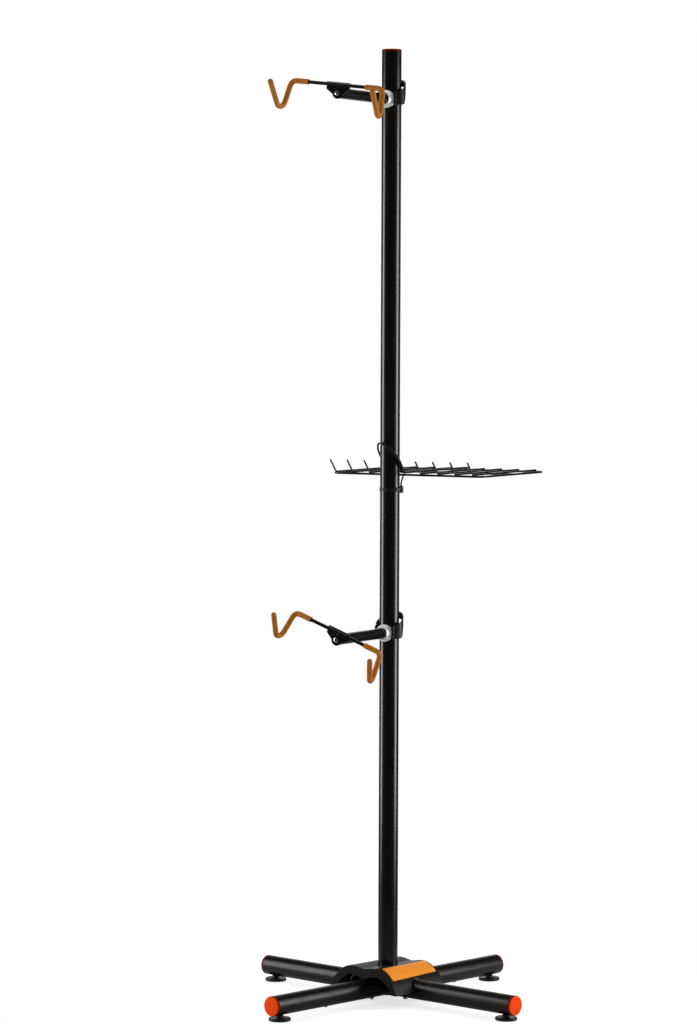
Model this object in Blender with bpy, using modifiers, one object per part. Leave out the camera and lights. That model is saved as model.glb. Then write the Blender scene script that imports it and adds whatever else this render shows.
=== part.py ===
# Bike display stand: a post on four legs, two arms with hook cradles, and a wire tray.
# Sizes are in metres. The origin is on the floor at the post's axis, and Z is up.
# The legs stand at 45 degrees to X and Y, and -Y is the front.

import math

import bmesh
import bpy
from mathutils import Matrix, Vector

# A face that rests on its neighbour keeps this gap to it.
GAP = 0.0003

# A cutter runs this far past what it cuts.
OVERCUT = 0.010

# Sides of round pieces: large tubes, middling ones, small ones, and thin wires.
LARGE = 20
MIDDLING = 16
SMALL = 10
THIN = 8

# Round tube of the post and the legs.
TUBE_RADIUS = 0.02225
TUBE_WALL = 0.002
TUBE_BORE = TUBE_RADIUS - TUBE_WALL
SPIGOT_RADIUS = TUBE_BORE - 0.0005
SPIGOT_BORE = 0.017
SPIGOT_CHAMFER = 0.001
HIDDEN_BORE_SIDES = 12

# Legs, with what is in and under them.
LEGS = {"rear_right": 45, "rear_left": 135, "front_left": 225, "front_right": 315}
LEG_HEIGHT = 0.0345
LEG_START = 0.0235
LEG_REACH = 0.381
CAP_HEAD = 0.004
CAP_INSERT = 0.012
CAP_ROUND = 0.002
LEG_BOLT_AT = 0.054
LEG_BOLT_RADIUS = 0.003
LEG_BOLT_HEAD = 0.0058
LEG_BOLT_HEAD_HEIGHT = 0.004
SHANK_IN_HEAD = 0.001
SHANK_PAST_WALL = 0.004
PLUG_SCREWS = {"front_left": 0.205, "rear_right": 0.229}
PLUG_SCREW_RADIUS = 0.0016
PLUG_SCREW_HEAD = 0.004
PLUG_SCREW_HEAD_HEIGHT = 0.002

# Screw feet.
FOOT_AT = 0.3525
STUD_RADIUS = 0.0038
STUD_TOP = 0.034
STUD_SEAT = 0.003
STUD_CHAMFER = 0.0006
PAD_RADIUS = 0.0245
PAD_HEIGHT = 0.007
PAD_ROUND = 0.0022
PAD_CHAMFER = 0.0012
BOSS_RADIUS = 0.0085
BOSS_TOP = 0.012
WELD_NUT_RADIUS = 0.007
WELD_NUT_HEIGHT = 0.009

# Hub: a welded cross of spigots under the cover.
HUB_RADIUS = 0.022
HUB_BOTTOM = 0.0135
HUB_TOP = 0.058
SPIGOT_REACH = 0.110
POST_SPIGOT_TOP = 0.165

# Base cover. Both lines give half of a symmetric outline: distance from the middle, and height.
COVER_TURN = -45
COVER_LENGTH = 0.164
COVER_WALL = 0.003
COVER_HEM = 0.0295
COVER_EDGE_ROUND = 0.0012
COVER_BELOW = 0.010
COVER_LINE = ((0, 0.080), (0.035, 0.0845), (0.062, 0.077), (0.0865, 0.056), (0.100, COVER_HEM))
RIBBON_LINE = ((0, 0.0573), (0.038, 0.065), (0.066, 0.054), (0.082, 0.035), (0.085, COVER_HEM))
LEG_SLOT_RADIUS = 0.027
LEG_SLOT_HEIGHT = 0.0355
COLLAR_RADIUS = 0.026
COLLAR_BOTTOM = 0.066
POST_HOLE_RADIUS = TUBE_RADIUS + 0.0004

# Post.
POST_START = HUB_TOP + GAP
POST_SEAM = 1.100
POST_TOP = 2.145
POST_CAP_HEAD = 0.0055
JOINER_HALF = 0.080
JOINER_WALL = 0.0025

# Arms: heading of the arm, its height, and the tilt of its cradle, right end down.
ARMS = {"lower": (238.8, 0.835, 20.8), "upper": (238.2, 2.032, 6.5)}
BUSH_RADIUS = 0.0235
BUSH_BORE = TUBE_RADIUS + GAP
BUSH_HALF = 0.0135
SADDLE_BORE = 0.0238
SADDLE_BORE_SIDES = 24
SADDLE_RADIUS = 0.0195
SADDLE_MOUTH_RADIUS = 0.0139
SADDLE_MOUTH = 0.0365
SADDLE_FLARE_START = 0.026
SADDLE_SEAT = 0.0123
SADDLE_BACK = 0.010
ARM_RADIUS = 0.012
ARM_WALL = 0.002
ARM_START = 0.0255
ARM_END = 0.2330

# Yoke: a bent steel strip. The bridge behind the post is high, the cheeks by the saddle are low.
YOKE_WALL = 0.003
YOKE_TURN = 0.029
YOKE_FRONT = 0.0265
YOKE_FLANK = SADDLE_RADIUS + 0.0004
YOKE_PLAN = ((YOKE_FRONT, YOKE_FLANK), (0.0165, YOKE_FLANK), (0.0065, YOKE_TURN - 0.001))
YOKE_SIDE = (
    (YOKE_FRONT + 0.001, -0.014),
    (YOKE_FRONT + 0.001, 0.015),
    (0.000, 0.024),
    (-0.016, 0.036),
    (-0.036, 0.0495),
    (-0.036, 0.034),
    (-0.018, 0.026),
    (-0.002, -0.0115),
)
YOKE_CORNER = 0.0035
YOKE_PIN_AT = 0.0226
YOKE_PIN_RADIUS = 0.0022
YOKE_PIN_INNER = 0.0149
YOKE_PIN_HEAD = 0.0042
YOKE_PIN_HEAD_HEIGHT = 0.0022

# Cradle: it turns about the arm's own axis on the pivot bolt.
PLUG_FLANGE = 0.0035
PLUG_INSERT = 0.018
WASHER_WALL = 0.0029
WASHER_RADIUS = 0.0105
BRACKET_WALL = 0.004
BRACKET_HALF = 0.029
BRACKET_TOP = 0.0235
BRACKET_WING = 0.007
BRACKET_LOBE = 0.013
BRACKET_EDGE = 0.0008
PIVOT_RADIUS = 0.003
PIVOT_HEAD = 0.0065
PIVOT_HEAD_HEIGHT = 0.0042
ROD_RADIUS = 0.004
BAR_HEIGHT = 0.0178
BAR_HALF = 0.115
HOOK_OUT = 0.0100
HOOK_AHEAD = 0.0176
HOOK_DROP = 0.078
HOOK_TIP_OUT = 0.0139
HOOK_TIP_AHEAD = 0.072
HOOK_TIP_DROP = 0.0029
HOOK_BEND = 0.014
SLEEVE_RADIUS = 0.006
SLEEVE_START = 0.072
SLEEVE_TIP_WALL = 0.003
ROD_TIP_BACK = 0.0035

# Tray. It heads away from the arms. Its near rim is NEAR from the post's axis, and its
# right-hand end is farther from the post than its left-hand end.
TRAY_HEADING = 54
TRAY_HEIGHT = 1.190
TRAY_RISE = 0.004
TRAY_NEAR = 0.035
TRAY_FAR = 0.305
TRAY_LEFT = 0.180
TRAY_RIGHT = 0.222
TRAY_CORNER = 0.018
RIM_RADIUS = 0.0025
CROSS_RADIUS = 0.002
CROSS_SIDES = 6
CROSS_LIFT = 0.0035
CROSS_FIRST = 0.170
CROSS_PITCH = 0.046
CROSS_COUNT = 9
HANGER_CROSS = 4
PRONG_RUN = 0.023
PRONG_RISE = 0.0275
PRONG_BEND = 0.006
LOOP_TURN = -16
LOOP_WIRE = 0.00225
LOOP_RADIUS = 0.0276
LOOP_MIDDLE = 1.2257
LOOP_SLOPE = 1.338
LOOP_LEAVES = 45
LOOP_PAIR = 0.0029
LOOP_STEP = 15
STEM_START = TRAY_NEAR + 0.006
STEM_BEND = 0.008
LOOP_SLEEVE_RADIUS = 0.00425
LOOP_SLEEVE_FROM = -165
LOOP_SLEEVE_END = 0.6
REST_HEIGHT = 1.158
REST_HALF = 0.0045
REST_EDGE = 0.0012
REST_BORE = 0.0236
REST_RADIUS = 0.0284
REST_FROM = -151
REST_TO = 87
REST_NECK_HALF = 0.004
REST_BOSS_RADIUS = 0.0052
REST_BOSS_TOP = 0.007
REST_BOSS_BOTTOM = -0.009
REST_WIRE_AT = 0.0335
REST_WIRE_DROP = 0.018
REST_WIRE_BEND = 0.004
TRAY_BUSH_RADIUS = 0.0232
TRAY_BUSH_HALF = 0.0042

for old in list(bpy.data.objects):
    bpy.data.objects.remove(old)

parts = bpy.data.collections.new("bike_display_stand")
cutters = bpy.data.collections.new("cutters")
bpy.context.scene.collection.children.link(parts)
bpy.context.scene.collection.children.link(cutters)


def finish(name, colour, roughness, metallic=0.0):
    """A plain material of the piece's colour."""
    material = bpy.data.materials.new(name)
    material.use_nodes = True
    shader = material.node_tree.nodes["Principled BSDF"]
    shader.inputs["Base Color"].default_value = (*colour, 1)
    shader.inputs["Roughness"].default_value = roughness
    shader.inputs["Metallic"].default_value = metallic
    return material


BLACK_PAINT = finish("black_powder_coat", (0.006, 0.006, 0.007), 0.3)
BLACK_PLASTIC = finish("black_plastic", (0.010, 0.010, 0.010), 0.5)
COVER_PLASTIC = finish("cover_plastic", (0.018, 0.017, 0.016), 0.45)
ORANGE_PLASTIC = finish("orange_plastic", (0.84, 0.09, 0.01), 0.4)
AMBER_RUBBER = finish("amber_rubber", (0.46, 0.17, 0.02), 0.5)
BLACK_RUBBER = finish("black_rubber", (0.012, 0.012, 0.012), 0.7)
BRIGHT_METAL = finish("bright_metal", (0.75, 0.74, 0.72), 0.2, 1.0)
ZINC = finish("zinc_plated_steel", (0.45, 0.45, 0.46), 0.35, 1.0)


def empty_frame(name, parent=None, location=(0, 0, 0), turn=(0, 0, 0)):
    """An empty that carries the pieces of one moving group. The turn is in degrees."""
    empty = bpy.data.objects.new(name, None)
    parts.objects.link(empty)
    empty.empty_display_size = 0.03
    empty.parent = parent
    empty.location = location
    empty.rotation_euler = [math.radians(angle) for angle in turn]
    return empty


def put(obj, parent, material=None, turn=(0, 0, 0)):
    """Place an object in its parent's frame: a part if it has a material, or else a cutter."""
    (parts if material else cutters).objects.link(obj)
    obj.parent = parent
    obj.rotation_euler = [math.radians(angle) for angle in turn]
    if material:
        obj.data.materials.append(material)
    else:
        obj.hide_render = True
        obj.display_type = "WIRE"
    return obj


def combine(obj, other, operation):
    modifier = obj.modifiers.new(operation.title(), "BOOLEAN")
    modifier.operation = operation
    modifier.object = other


def cut(obj, other):
    combine(obj, other, "DIFFERENCE")


def fuse(obj, other):
    combine(obj, other, "UNION")


def shaded(mesh):
    mesh.shade_smooth()
    mesh.set_sharp_from_angle(angle=math.radians(35))
    return mesh


def closed_mesh(name, source):
    """The mesh that Blender makes of an object, with its loose caps welded. The object is removed."""
    parts.objects.link(source)
    graph = bpy.context.evaluated_depsgraph_get()
    mesh = bpy.data.meshes.new_from_object(source.evaluated_get(graph))
    bpy.data.objects.remove(source)
    shape = bmesh.new()
    shape.from_mesh(mesh)
    bmesh.ops.remove_doubles(shape, verts=shape.verts, dist=1e-6)
    bmesh.ops.recalc_face_normals(shape, faces=shape.faces)
    shape.to_mesh(mesh)
    shape.free()
    mesh.name = name
    return bpy.data.objects.new(name, shaded(mesh))


def turned(name, profile, ring=False, sides=LARGE):
    """A turned shape about Z. The profile is (radius, height) and runs down its outer side."""
    mesh = bpy.data.meshes.new(name)
    edges = [(i, i + 1) for i in range(len(profile) - 1)]
    if ring:
        edges.append((len(profile) - 1, 0))
    mesh.from_pydata([(radius, 0, height) for radius, height in profile], edges, [])
    source = bpy.data.objects.new(name, mesh)
    screw = source.modifiers.new("Turn", "SCREW")
    screw.steps = sides
    screw.render_steps = sides
    screw.use_merge_vertices = True
    screw.merge_threshold = 0.00001
    return closed_mesh(name, source)


def tube(name, outer, inner, low, high, sides=LARGE):
    return turned(name, [(outer, high), (outer, low), (inner, low), (inner, high)], True, sides)


def cylinder(name, radius, low, high, at=(0, 0), sides=MIDDLING):
    """A round bar about Z, or a prism where it has few sides."""
    shape = bmesh.new()
    middle = Matrix.Translation((*at, (low + high) / 2))
    bmesh.ops.create_cone(
        shape, cap_ends=True, segments=sides, radius1=radius, radius2=radius,
        depth=high - low, matrix=middle,
    )
    mesh = bpy.data.meshes.new(name)
    shape.to_mesh(mesh)
    shape.free()
    return bpy.data.objects.new(name, shaded(mesh))


def block(name, low, high):
    """A box between two corners."""
    shape = bmesh.new()
    size = Vector(high) - Vector(low)
    middle = Matrix.Translation((Vector(high) + Vector(low)) / 2) @ Matrix.Diagonal((*size, 1))
    bmesh.ops.create_cube(shape, size=1, matrix=middle)
    mesh = bpy.data.meshes.new(name)
    shape.to_mesh(mesh)
    shape.free()
    return bpy.data.objects.new(name, mesh)


def plate(name, outline, depth):
    """A flat outline in X and Y, with half of its depth on each side of the plane."""
    curve = bpy.data.curves.new(name, "CURVE")
    curve.dimensions = "2D"
    curve.fill_mode = "BOTH"
    curve.extrude = depth / 2
    spline = curve.splines.new("POLY")
    spline.points.add(len(outline) - 1)
    for point, place in zip(spline.points, outline):
        point.co = (place[0], place[1], 0, 1)
    spline.use_cyclic_u = True
    return closed_mesh(name, bpy.data.objects.new(name, curve))


def wire(name, path, radius, sides=THIN, round_end=False, closed=False):
    """A round wire along a path. A round end draws the last stretch in to a dome."""
    path = [Vector(place) for place in path]
    widths = [1.0] * len(path)
    if round_end:
        ahead = (path[-1] - path[-2]).normalized()
        dome = [(math.sin(math.radians(a)), math.cos(math.radians(a))) for a in (35, 65)]
        tip = path.pop()
        widths.pop()
        path += [tip - ahead * radius] + [tip - ahead * radius * (1 - far) for far, wide in dome]
        widths += [1.0] + [wide for far, wide in dome]
    curve = bpy.data.curves.new(name, "CURVE")
    curve.dimensions = "3D"
    curve.fill_mode = "FULL"
    curve.bevel_depth = radius
    curve.bevel_resolution = (sides - 4) // 2
    curve.use_fill_caps = True
    spline = curve.splines.new("POLY")
    spline.points.add(len(path) - 1)
    for point, place, width in zip(spline.points, path, widths):
        point.co = (*place, 1)
        point.radius = width
    spline.use_cyclic_u = closed
    return closed_mesh(name, bpy.data.objects.new(name, curve))


def arc(centre, radius, start, end, steps):
    """Points of an arc in a plane. The angles are in degrees."""
    angles = [math.radians(start + (end - start) * i / steps) for i in range(steps + 1)]
    return [(centre[0] + radius * math.cos(a), centre[1] + radius * math.sin(a)) for a in angles]


def bent(corners, radius, steps, closed=False):
    """A path through the corners, with each corner rounded to the radius."""
    corners = [Vector(corner).to_3d() for corner in corners]
    if closed:
        around = [corners[-1]] + corners + [corners[0]]
        path = []
    else:
        around = corners
        path = [corners[0]]
    for before, corner, after in zip(around, around[1:], around[2:]):
        back = (before - corner).normalized()
        ahead = (after - corner).normalized()
        half = back.angle(ahead) / 2
        centre = corner + (back + ahead).normalized() * radius / math.sin(half)
        first = corner + back * radius / math.tan(half) - centre
        last = corner + ahead * radius / math.tan(half) - centre
        axis = first.cross(last)
        sweep = first.angle(last)
        for i in range(steps + 1):
            path.append(centre + Matrix.Rotation(sweep * i / steps, 3, axis) @ first)
    if not closed:
        path.append(corners[-1])
    return path


def smooth(keys, steps):
    """A smooth plane line through the keys, which it leaves straight at both ends."""
    keys = [Vector(key) for key in keys]
    keys = [2 * keys[0] - keys[1]] + keys + [2 * keys[-1] - keys[-2]]
    line = [keys[1]]
    for a, b, c, d in zip(keys, keys[1:], keys[2:], keys[3:]):
        for i in range(1, steps + 1):
            t = i / steps
            line.append(
                b + (c - a) * (t / 2)
                + (2 * a - 5 * b + 4 * c - d) * (t * t / 2)
                + (3 * b - a - 3 * c + d) * (t * t * t / 2)
            )
    return line


def both_sides(half):
    """A symmetric line from its half, which starts on the middle line X = 0."""
    return [(-x, y) for x, y in reversed(half[1:])] + [tuple(point) for point in half]


def domed_head(radius, height, seat):
    """The profile of a low domed bolt head, from its top down to its seat."""
    angles = [math.radians(a) for a in (60, 30, 0)]
    return [(0, seat + height)] + [(radius * math.cos(a), seat + height * math.sin(a)) for a in angles]


def inset(line, distance):
    """The line moved to its right-hand side."""
    line = [Vector(point) for point in line]
    moved = []
    for i, point in enumerate(line):
        along = (line[min(i + 1, len(line) - 1)] - line[max(i - 1, 0)]).normalized()
        moved.append(point + Vector((along.y, -along.x)) * distance)
    return moved


def leg(side, angle):
    """A leg tube with its end cap, its bolt and its screw foot. X runs along the leg."""
    along = (0, 90, 0)
    frame = empty_frame(side + "_leg_frame", turn=(0, 0, angle))
    level = empty_frame(side + "_leg_axis", frame, (0, 0, LEG_HEIGHT))
    underside = LEG_HEIGHT - TUBE_RADIUS
    tube_end = LEG_REACH - CAP_HEAD - GAP

    body = put(tube(side + "_leg", TUBE_RADIUS, TUBE_BORE, LEG_START, tube_end), level, BLACK_PAINT, along)
    nut_low = underside + TUBE_WALL / 2
    nut_high = nut_low + WELD_NUT_HEIGHT
    nut = cylinder(side + "_weld_nut", WELD_NUT_RADIUS, nut_low, nut_high, (FOOT_AT, 0), SMALL)
    fuse(body, put(nut, frame))
    clearance = STUD_RADIUS + GAP
    cut(body, put(cylinder(side + "_stud_hole", clearance, 0, LEG_HEIGHT, (FOOT_AT, 0), SMALL), frame))
    clearance = LEG_BOLT_RADIUS + GAP
    bolt_hole = put(cylinder(side + "_bolt_hole", clearance, 0, LEG_HEIGHT, (LEG_BOLT_AT, 0), SMALL), frame)
    cut(body, bolt_hole)

    insert = TUBE_BORE - GAP
    face = TUBE_RADIUS - CAP_ROUND
    cap_profile = [(0, LEG_REACH)]
    cap_profile += arc((face, LEG_REACH - CAP_ROUND), CAP_ROUND, 90, 0, 2)
    cap_profile += [
        (TUBE_RADIUS, tube_end + GAP),
        (insert, tube_end + GAP),
        (insert, tube_end - CAP_INSERT),
        (0, tube_end - CAP_INSERT),
    ]
    put(turned(side + "_leg_cap", cap_profile), level, ORANGE_PLASTIC, along)

    head_low = underside - GAP - LEG_BOLT_HEAD_HEIGHT
    at = (LEG_BOLT_AT, 0)
    bolt = cylinder(side + "_leg_bolt", LEG_BOLT_HEAD, head_low, underside - GAP, at, 6)
    put(bolt, frame, ZINC)
    shank_low = head_low + SHANK_IN_HEAD
    shank_top = LEG_HEIGHT - SPIGOT_BORE + SHANK_PAST_WALL
    shank = cylinder(side + "_bolt_shank", LEG_BOLT_RADIUS, shank_low, shank_top, at, SMALL)
    fuse(bolt, put(shank, frame))

    if side in PLUG_SCREWS:
        at = (PLUG_SCREWS[side], 0)
        head_low = underside - GAP - PLUG_SCREW_HEAD_HEIGHT
        screw = cylinder(side + "_leg_screw", PLUG_SCREW_HEAD, head_low, underside - GAP, at, SMALL)
        put(screw, frame, BLACK_PAINT)
        shank_low = head_low + SHANK_IN_HEAD
        shank_top = underside + TUBE_WALL + SHANK_PAST_WALL
        shank = cylinder(side + "_screw_shank", PLUG_SCREW_RADIUS, shank_low, shank_top, at, SMALL)
        fuse(screw, put(shank, frame))
        clearance = PLUG_SCREW_RADIUS + GAP
        cut(body, put(cylinder(side + "_screw_hole", clearance, 0, LEG_HEIGHT, at, SMALL), frame))

    slide = empty_frame(side + "_foot_slide", frame, (FOOT_AT, 0, 0))
    stud_profile = [
        (0, STUD_TOP),
        (STUD_RADIUS - STUD_CHAMFER, STUD_TOP),
        (STUD_RADIUS, STUD_TOP - STUD_CHAMFER),
        (STUD_RADIUS, STUD_SEAT + GAP + STUD_CHAMFER),
        (STUD_RADIUS - STUD_CHAMFER, STUD_SEAT + GAP),
        (0, STUD_SEAT + GAP),
    ]
    put(turned(side + "_foot_stud", stud_profile, sides=SMALL), slide, ZINC)
    turn = empty_frame(side + "_foot_turn", slide)
    socket = STUD_RADIUS + GAP
    pad_profile = [
        (0, STUD_SEAT),
        (socket, STUD_SEAT),
        (socket, BOSS_TOP),
        (BOSS_RADIUS, BOSS_TOP),
        (BOSS_RADIUS, PAD_HEIGHT),
    ]
    rim = PAD_RADIUS - PAD_ROUND
    pad_profile += arc((rim, PAD_HEIGHT - PAD_ROUND), PAD_ROUND, 90, 0, 1)
    pad_profile += [(PAD_RADIUS, PAD_CHAMFER), (PAD_RADIUS - PAD_CHAMFER, 0), (0, 0)]
    put(turned(side + "_foot_pad", pad_profile, sides=MIDDLING), turn, BLACK_PLASTIC)
    return bolt_hole


def base_hub(bolt_holes):
    """The welded cross: a short drum, four level spigots, and an upright one for the post."""
    drum = [
        (0, POST_SPIGOT_TOP),
        (SPIGOT_RADIUS - SPIGOT_CHAMFER, POST_SPIGOT_TOP),
        (SPIGOT_RADIUS, POST_SPIGOT_TOP - SPIGOT_CHAMFER),
        (SPIGOT_RADIUS, HUB_TOP),
        (HUB_RADIUS, HUB_TOP),
        (HUB_RADIUS, HUB_BOTTOM),
        (0, HUB_BOTTOM),
    ]
    hub = put(turned("base_hub", drum), None, BLACK_PAINT)
    level = empty_frame("hub_axis", location=(0, 0, LEG_HEIGHT))
    bores = []
    for name, heading in (("long", 45), ("cross", 135)):
        turn = (0, 90, heading)
        spigot = cylinder(name + "_spigot", SPIGOT_RADIUS, -SPIGOT_REACH, SPIGOT_REACH)
        fuse(hub, put(spigot, level, turn=turn))
        reach = SPIGOT_REACH + OVERCUT
        bore = cylinder(name + "_bore", SPIGOT_BORE, -reach, reach, sides=HIDDEN_BORE_SIDES)
        bores.append(put(bore, level, turn=turn))
    top = POST_SPIGOT_TOP + OVERCUT
    upright = cylinder("upright_bore", SPIGOT_BORE - GAP, LEG_HEIGHT, top, sides=HIDDEN_BORE_SIDES)
    for bore in bores + [put(upright, None)] + bolt_holes:
        cut(hub, bore)


def base_cover():
    """The moulded saddle over the middle of the legs: two humps, ribbons at the ends, leg slots."""
    frame = empty_frame("cover_frame", turn=(0, 0, COVER_TURN))
    stand_up = (90, 0, 0)
    top = both_sides(smooth(COVER_LINE, 4))
    cover = put(plate("base_cover", top, COVER_LENGTH), frame, COVER_PLASTIC, stand_up)
    edge = cover.modifiers.new("Rounded rims", "BEVEL")
    edge.width = COVER_EDGE_ROUND
    edge.segments = 1
    edge.limit_method = "ANGLE"
    edge.angle_limit = math.radians(60)

    inside = inset(top, COVER_WALL)
    inside = [(inside[0].x, COVER_BELOW), *[tuple(point) for point in inside], (inside[-1].x, COVER_BELOW)]
    hollow = put(plate("cover_hollow", inside, COVER_LENGTH - 2 * COVER_WALL), frame, turn=stand_up)
    cut(hollow, put(cylinder("collar_column", COLLAR_RADIUS, 0, POST_SPIGOT_TOP, sides=LARGE), None))
    cut(cover, hollow)
    trim = COLLAR_RADIUS + COVER_WALL
    cut(cover, put(cylinder("collar_trim", trim, 0, COLLAR_BOTTOM, sides=LARGE), None))

    ribbon = both_sides(smooth(RIBBON_LINE, 3))
    ribbon = [(ribbon[0][0], COVER_BELOW), *ribbon, (ribbon[-1][0], COVER_BELOW)]
    through = COVER_LENGTH + 2 * OVERCUT
    cut(cover, put(plate("ribbon_opening", ribbon, through), frame, turn=stand_up))

    arch = arc((0, LEG_SLOT_HEIGHT), LEG_SLOT_RADIUS, 180, 0, 12)
    arch = [(-LEG_SLOT_RADIUS, COVER_BELOW), *arch, (LEG_SLOT_RADIUS, COVER_BELOW)]
    through = 2 * (COVER_LINE[-1][0] + OVERCUT)
    cut(cover, put(plate("leg_slot", arch, through), frame, turn=(90, 0, 90)))
    cut(cover, put(cylinder("post_hole", POST_HOLE_RADIUS, 0, POST_SPIGOT_TOP, sides=LARGE), None))


def post():
    """Two tubes in line, the joiner inside them, and the end cap."""
    cap_seat = POST_TOP - POST_CAP_HEAD
    lower_end = POST_SEAM - GAP / 2
    put(tube("lower_post", TUBE_RADIUS, TUBE_BORE, POST_START, lower_end), None, BLACK_PAINT)
    upper_end = cap_seat - GAP
    put(tube("upper_post", TUBE_RADIUS, TUBE_BORE, POST_SEAM + GAP / 2, upper_end), None, BLACK_PAINT)
    outer = TUBE_BORE - GAP
    low = POST_SEAM - JOINER_HALF
    high = POST_SEAM + JOINER_HALF
    put(tube("post_joiner", outer, outer - JOINER_WALL, low, high), None, ZINC)
    face = TUBE_RADIUS - CAP_ROUND
    profile = [(0, POST_TOP)] + arc((face, POST_TOP - CAP_ROUND), CAP_ROUND, 90, 0, 2)
    profile += [
        (TUBE_RADIUS, cap_seat),
        (outer, cap_seat),
        (outer, cap_seat - CAP_INSERT),
        (0, cap_seat - CAP_INSERT),
    ]
    put(turned("post_cap", profile), None, ORANGE_PLASTIC)


def saddle(name, swivel, bore, pin_holes):
    """The bright cup that seats on the bush and takes the arm tube. It is turned about the arm."""
    flare = []
    for i in range(5):
        t = i / 4
        radius = SADDLE_MOUTH_RADIUS + (SADDLE_RADIUS - SADDLE_MOUTH_RADIUS) * t * t
        flare.append((radius, SADDLE_MOUTH + (SADDLE_FLARE_START - SADDLE_MOUTH) * t))
    profile = flare + [(SADDLE_RADIUS, SADDLE_BACK), (SADDLE_SEAT, SADDLE_BACK), (SADDLE_SEAT, SADDLE_MOUTH)]
    cup = put(turned(name + "_saddle", profile, ring=True), swivel, BRIGHT_METAL, (0, 90, 0))
    cut(cup, bore)
    for hole in pin_holes:
        cut(cup, hole)


def yoke(name, swivel, pin_holes):
    """The strip that goes round the post from flank to flank of the saddle."""
    half = [Vector(point) for point in (*YOKE_PLAN, *arc((0, 0), YOKE_TURN, 90, 180, 6))]
    inner = half + [Vector((point.x, -point.y)) for point in reversed(half[:-1])]
    outer = inset(inner, YOKE_WALL)
    outline = inner + outer[::-1]
    heights = [height for ahead, height in YOKE_SIDE]
    low = min(heights) - OVERCUT
    high = max(heights) + OVERCUT
    strip = put(plate(name + "_yoke", outline, high - low), swivel, BLACK_PAINT)
    strip.location.z = (high + low) / 2
    side = bent(YOKE_SIDE, YOKE_CORNER, 2, closed=True)
    side = plate(name + "_yoke_side", side, 2 * (YOKE_TURN + YOKE_WALL + OVERCUT))
    combine(strip, put(side, swivel, turn=(90, 0, 0)), "INTERSECT")
    for hole in pin_holes:
        cut(strip, hole)


def cradle(name, tilt):
    """The rod with its two hooks, its bracket and its rubber sleeves. X runs along the arm."""
    along = (0, 90, 0)
    plug_face = ARM_END + GAP + PLUG_FLANGE
    bracket_back = plug_face + 2 * GAP + WASHER_WALL
    bracket_face = bracket_back + BRACKET_WALL
    bar = bracket_face + GAP + ROD_RADIUS

    lobe = arc((0, 0), BRACKET_LOBE, 195, 345, 8)
    outline = [(-BRACKET_HALF, BRACKET_TOP), (-BRACKET_HALF, BRACKET_WING)] + lobe
    outline += [(BRACKET_HALF, BRACKET_WING), (BRACKET_HALF, BRACKET_TOP)]
    bracket = plate(name + "_cradle_bracket", outline, BRACKET_WALL)
    put(bracket, tilt, BLACK_PAINT, (90, 0, 90))
    bracket.location.x = (bracket_back + bracket_face) / 2
    edge = bracket.modifiers.new("Rounded corners", "BEVEL")
    edge.width = BRACKET_EDGE
    edge.segments = 1
    edge.limit_method = "ANGLE"
    edge.angle_limit = math.radians(50)
    low = bracket_back - OVERCUT
    high = bracket_face + OVERCUT
    hole = cylinder(name + "_pivot_hole", PIVOT_RADIUS + GAP, low, high, sides=SMALL)
    cut(bracket, put(hole, tilt, turn=along))

    right = [
        (bar, SLEEVE_START, BAR_HEIGHT),
        (bar, BAR_HALF, BAR_HEIGHT),
        (bar + HOOK_AHEAD, BAR_HALF + HOOK_OUT, BAR_HEIGHT - HOOK_DROP),
        (bar + HOOK_TIP_AHEAD, BAR_HALF + HOOK_TIP_OUT, BAR_HEIGHT - HOOK_TIP_DROP),
    ]
    left = [(x, -y, z) for x, y, z in right]
    for side, corners in (("right", right), ("left", left)):
        path = bent(corners, HOOK_BEND, 3)
        sleeve = wire(f"{name}_hook_sleeve_{side}", path, SLEEVE_RADIUS, SMALL, round_end=True)
        put(sleeve, tilt, AMBER_RUBBER)
        inward = (path[0] - path[1]).normalized()
        back = (path[-2] - path[-1]).normalized()
        bore = [path[0] + inward * OVERCUT, *path[1:-1], path[-1] + back * SLEEVE_TIP_WALL]
        cut(sleeve, put(wire(f"{name}_{side}_sleeve_bore", bore, ROD_RADIUS + 2 * GAP), tilt))
    back = (Vector(right[2]) - Vector(right[3])).normalized()
    tip = Vector(right[3]) + back * ROD_TIP_BACK
    corners = [(tip.x, -tip.y, tip.z), left[2], left[1], right[1], right[2], tip]
    put(wire(name + "_cradle_rod", bent(corners, HOOK_BEND, 3), ROD_RADIUS), tilt, BLACK_PAINT)
    return bracket_face


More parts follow.
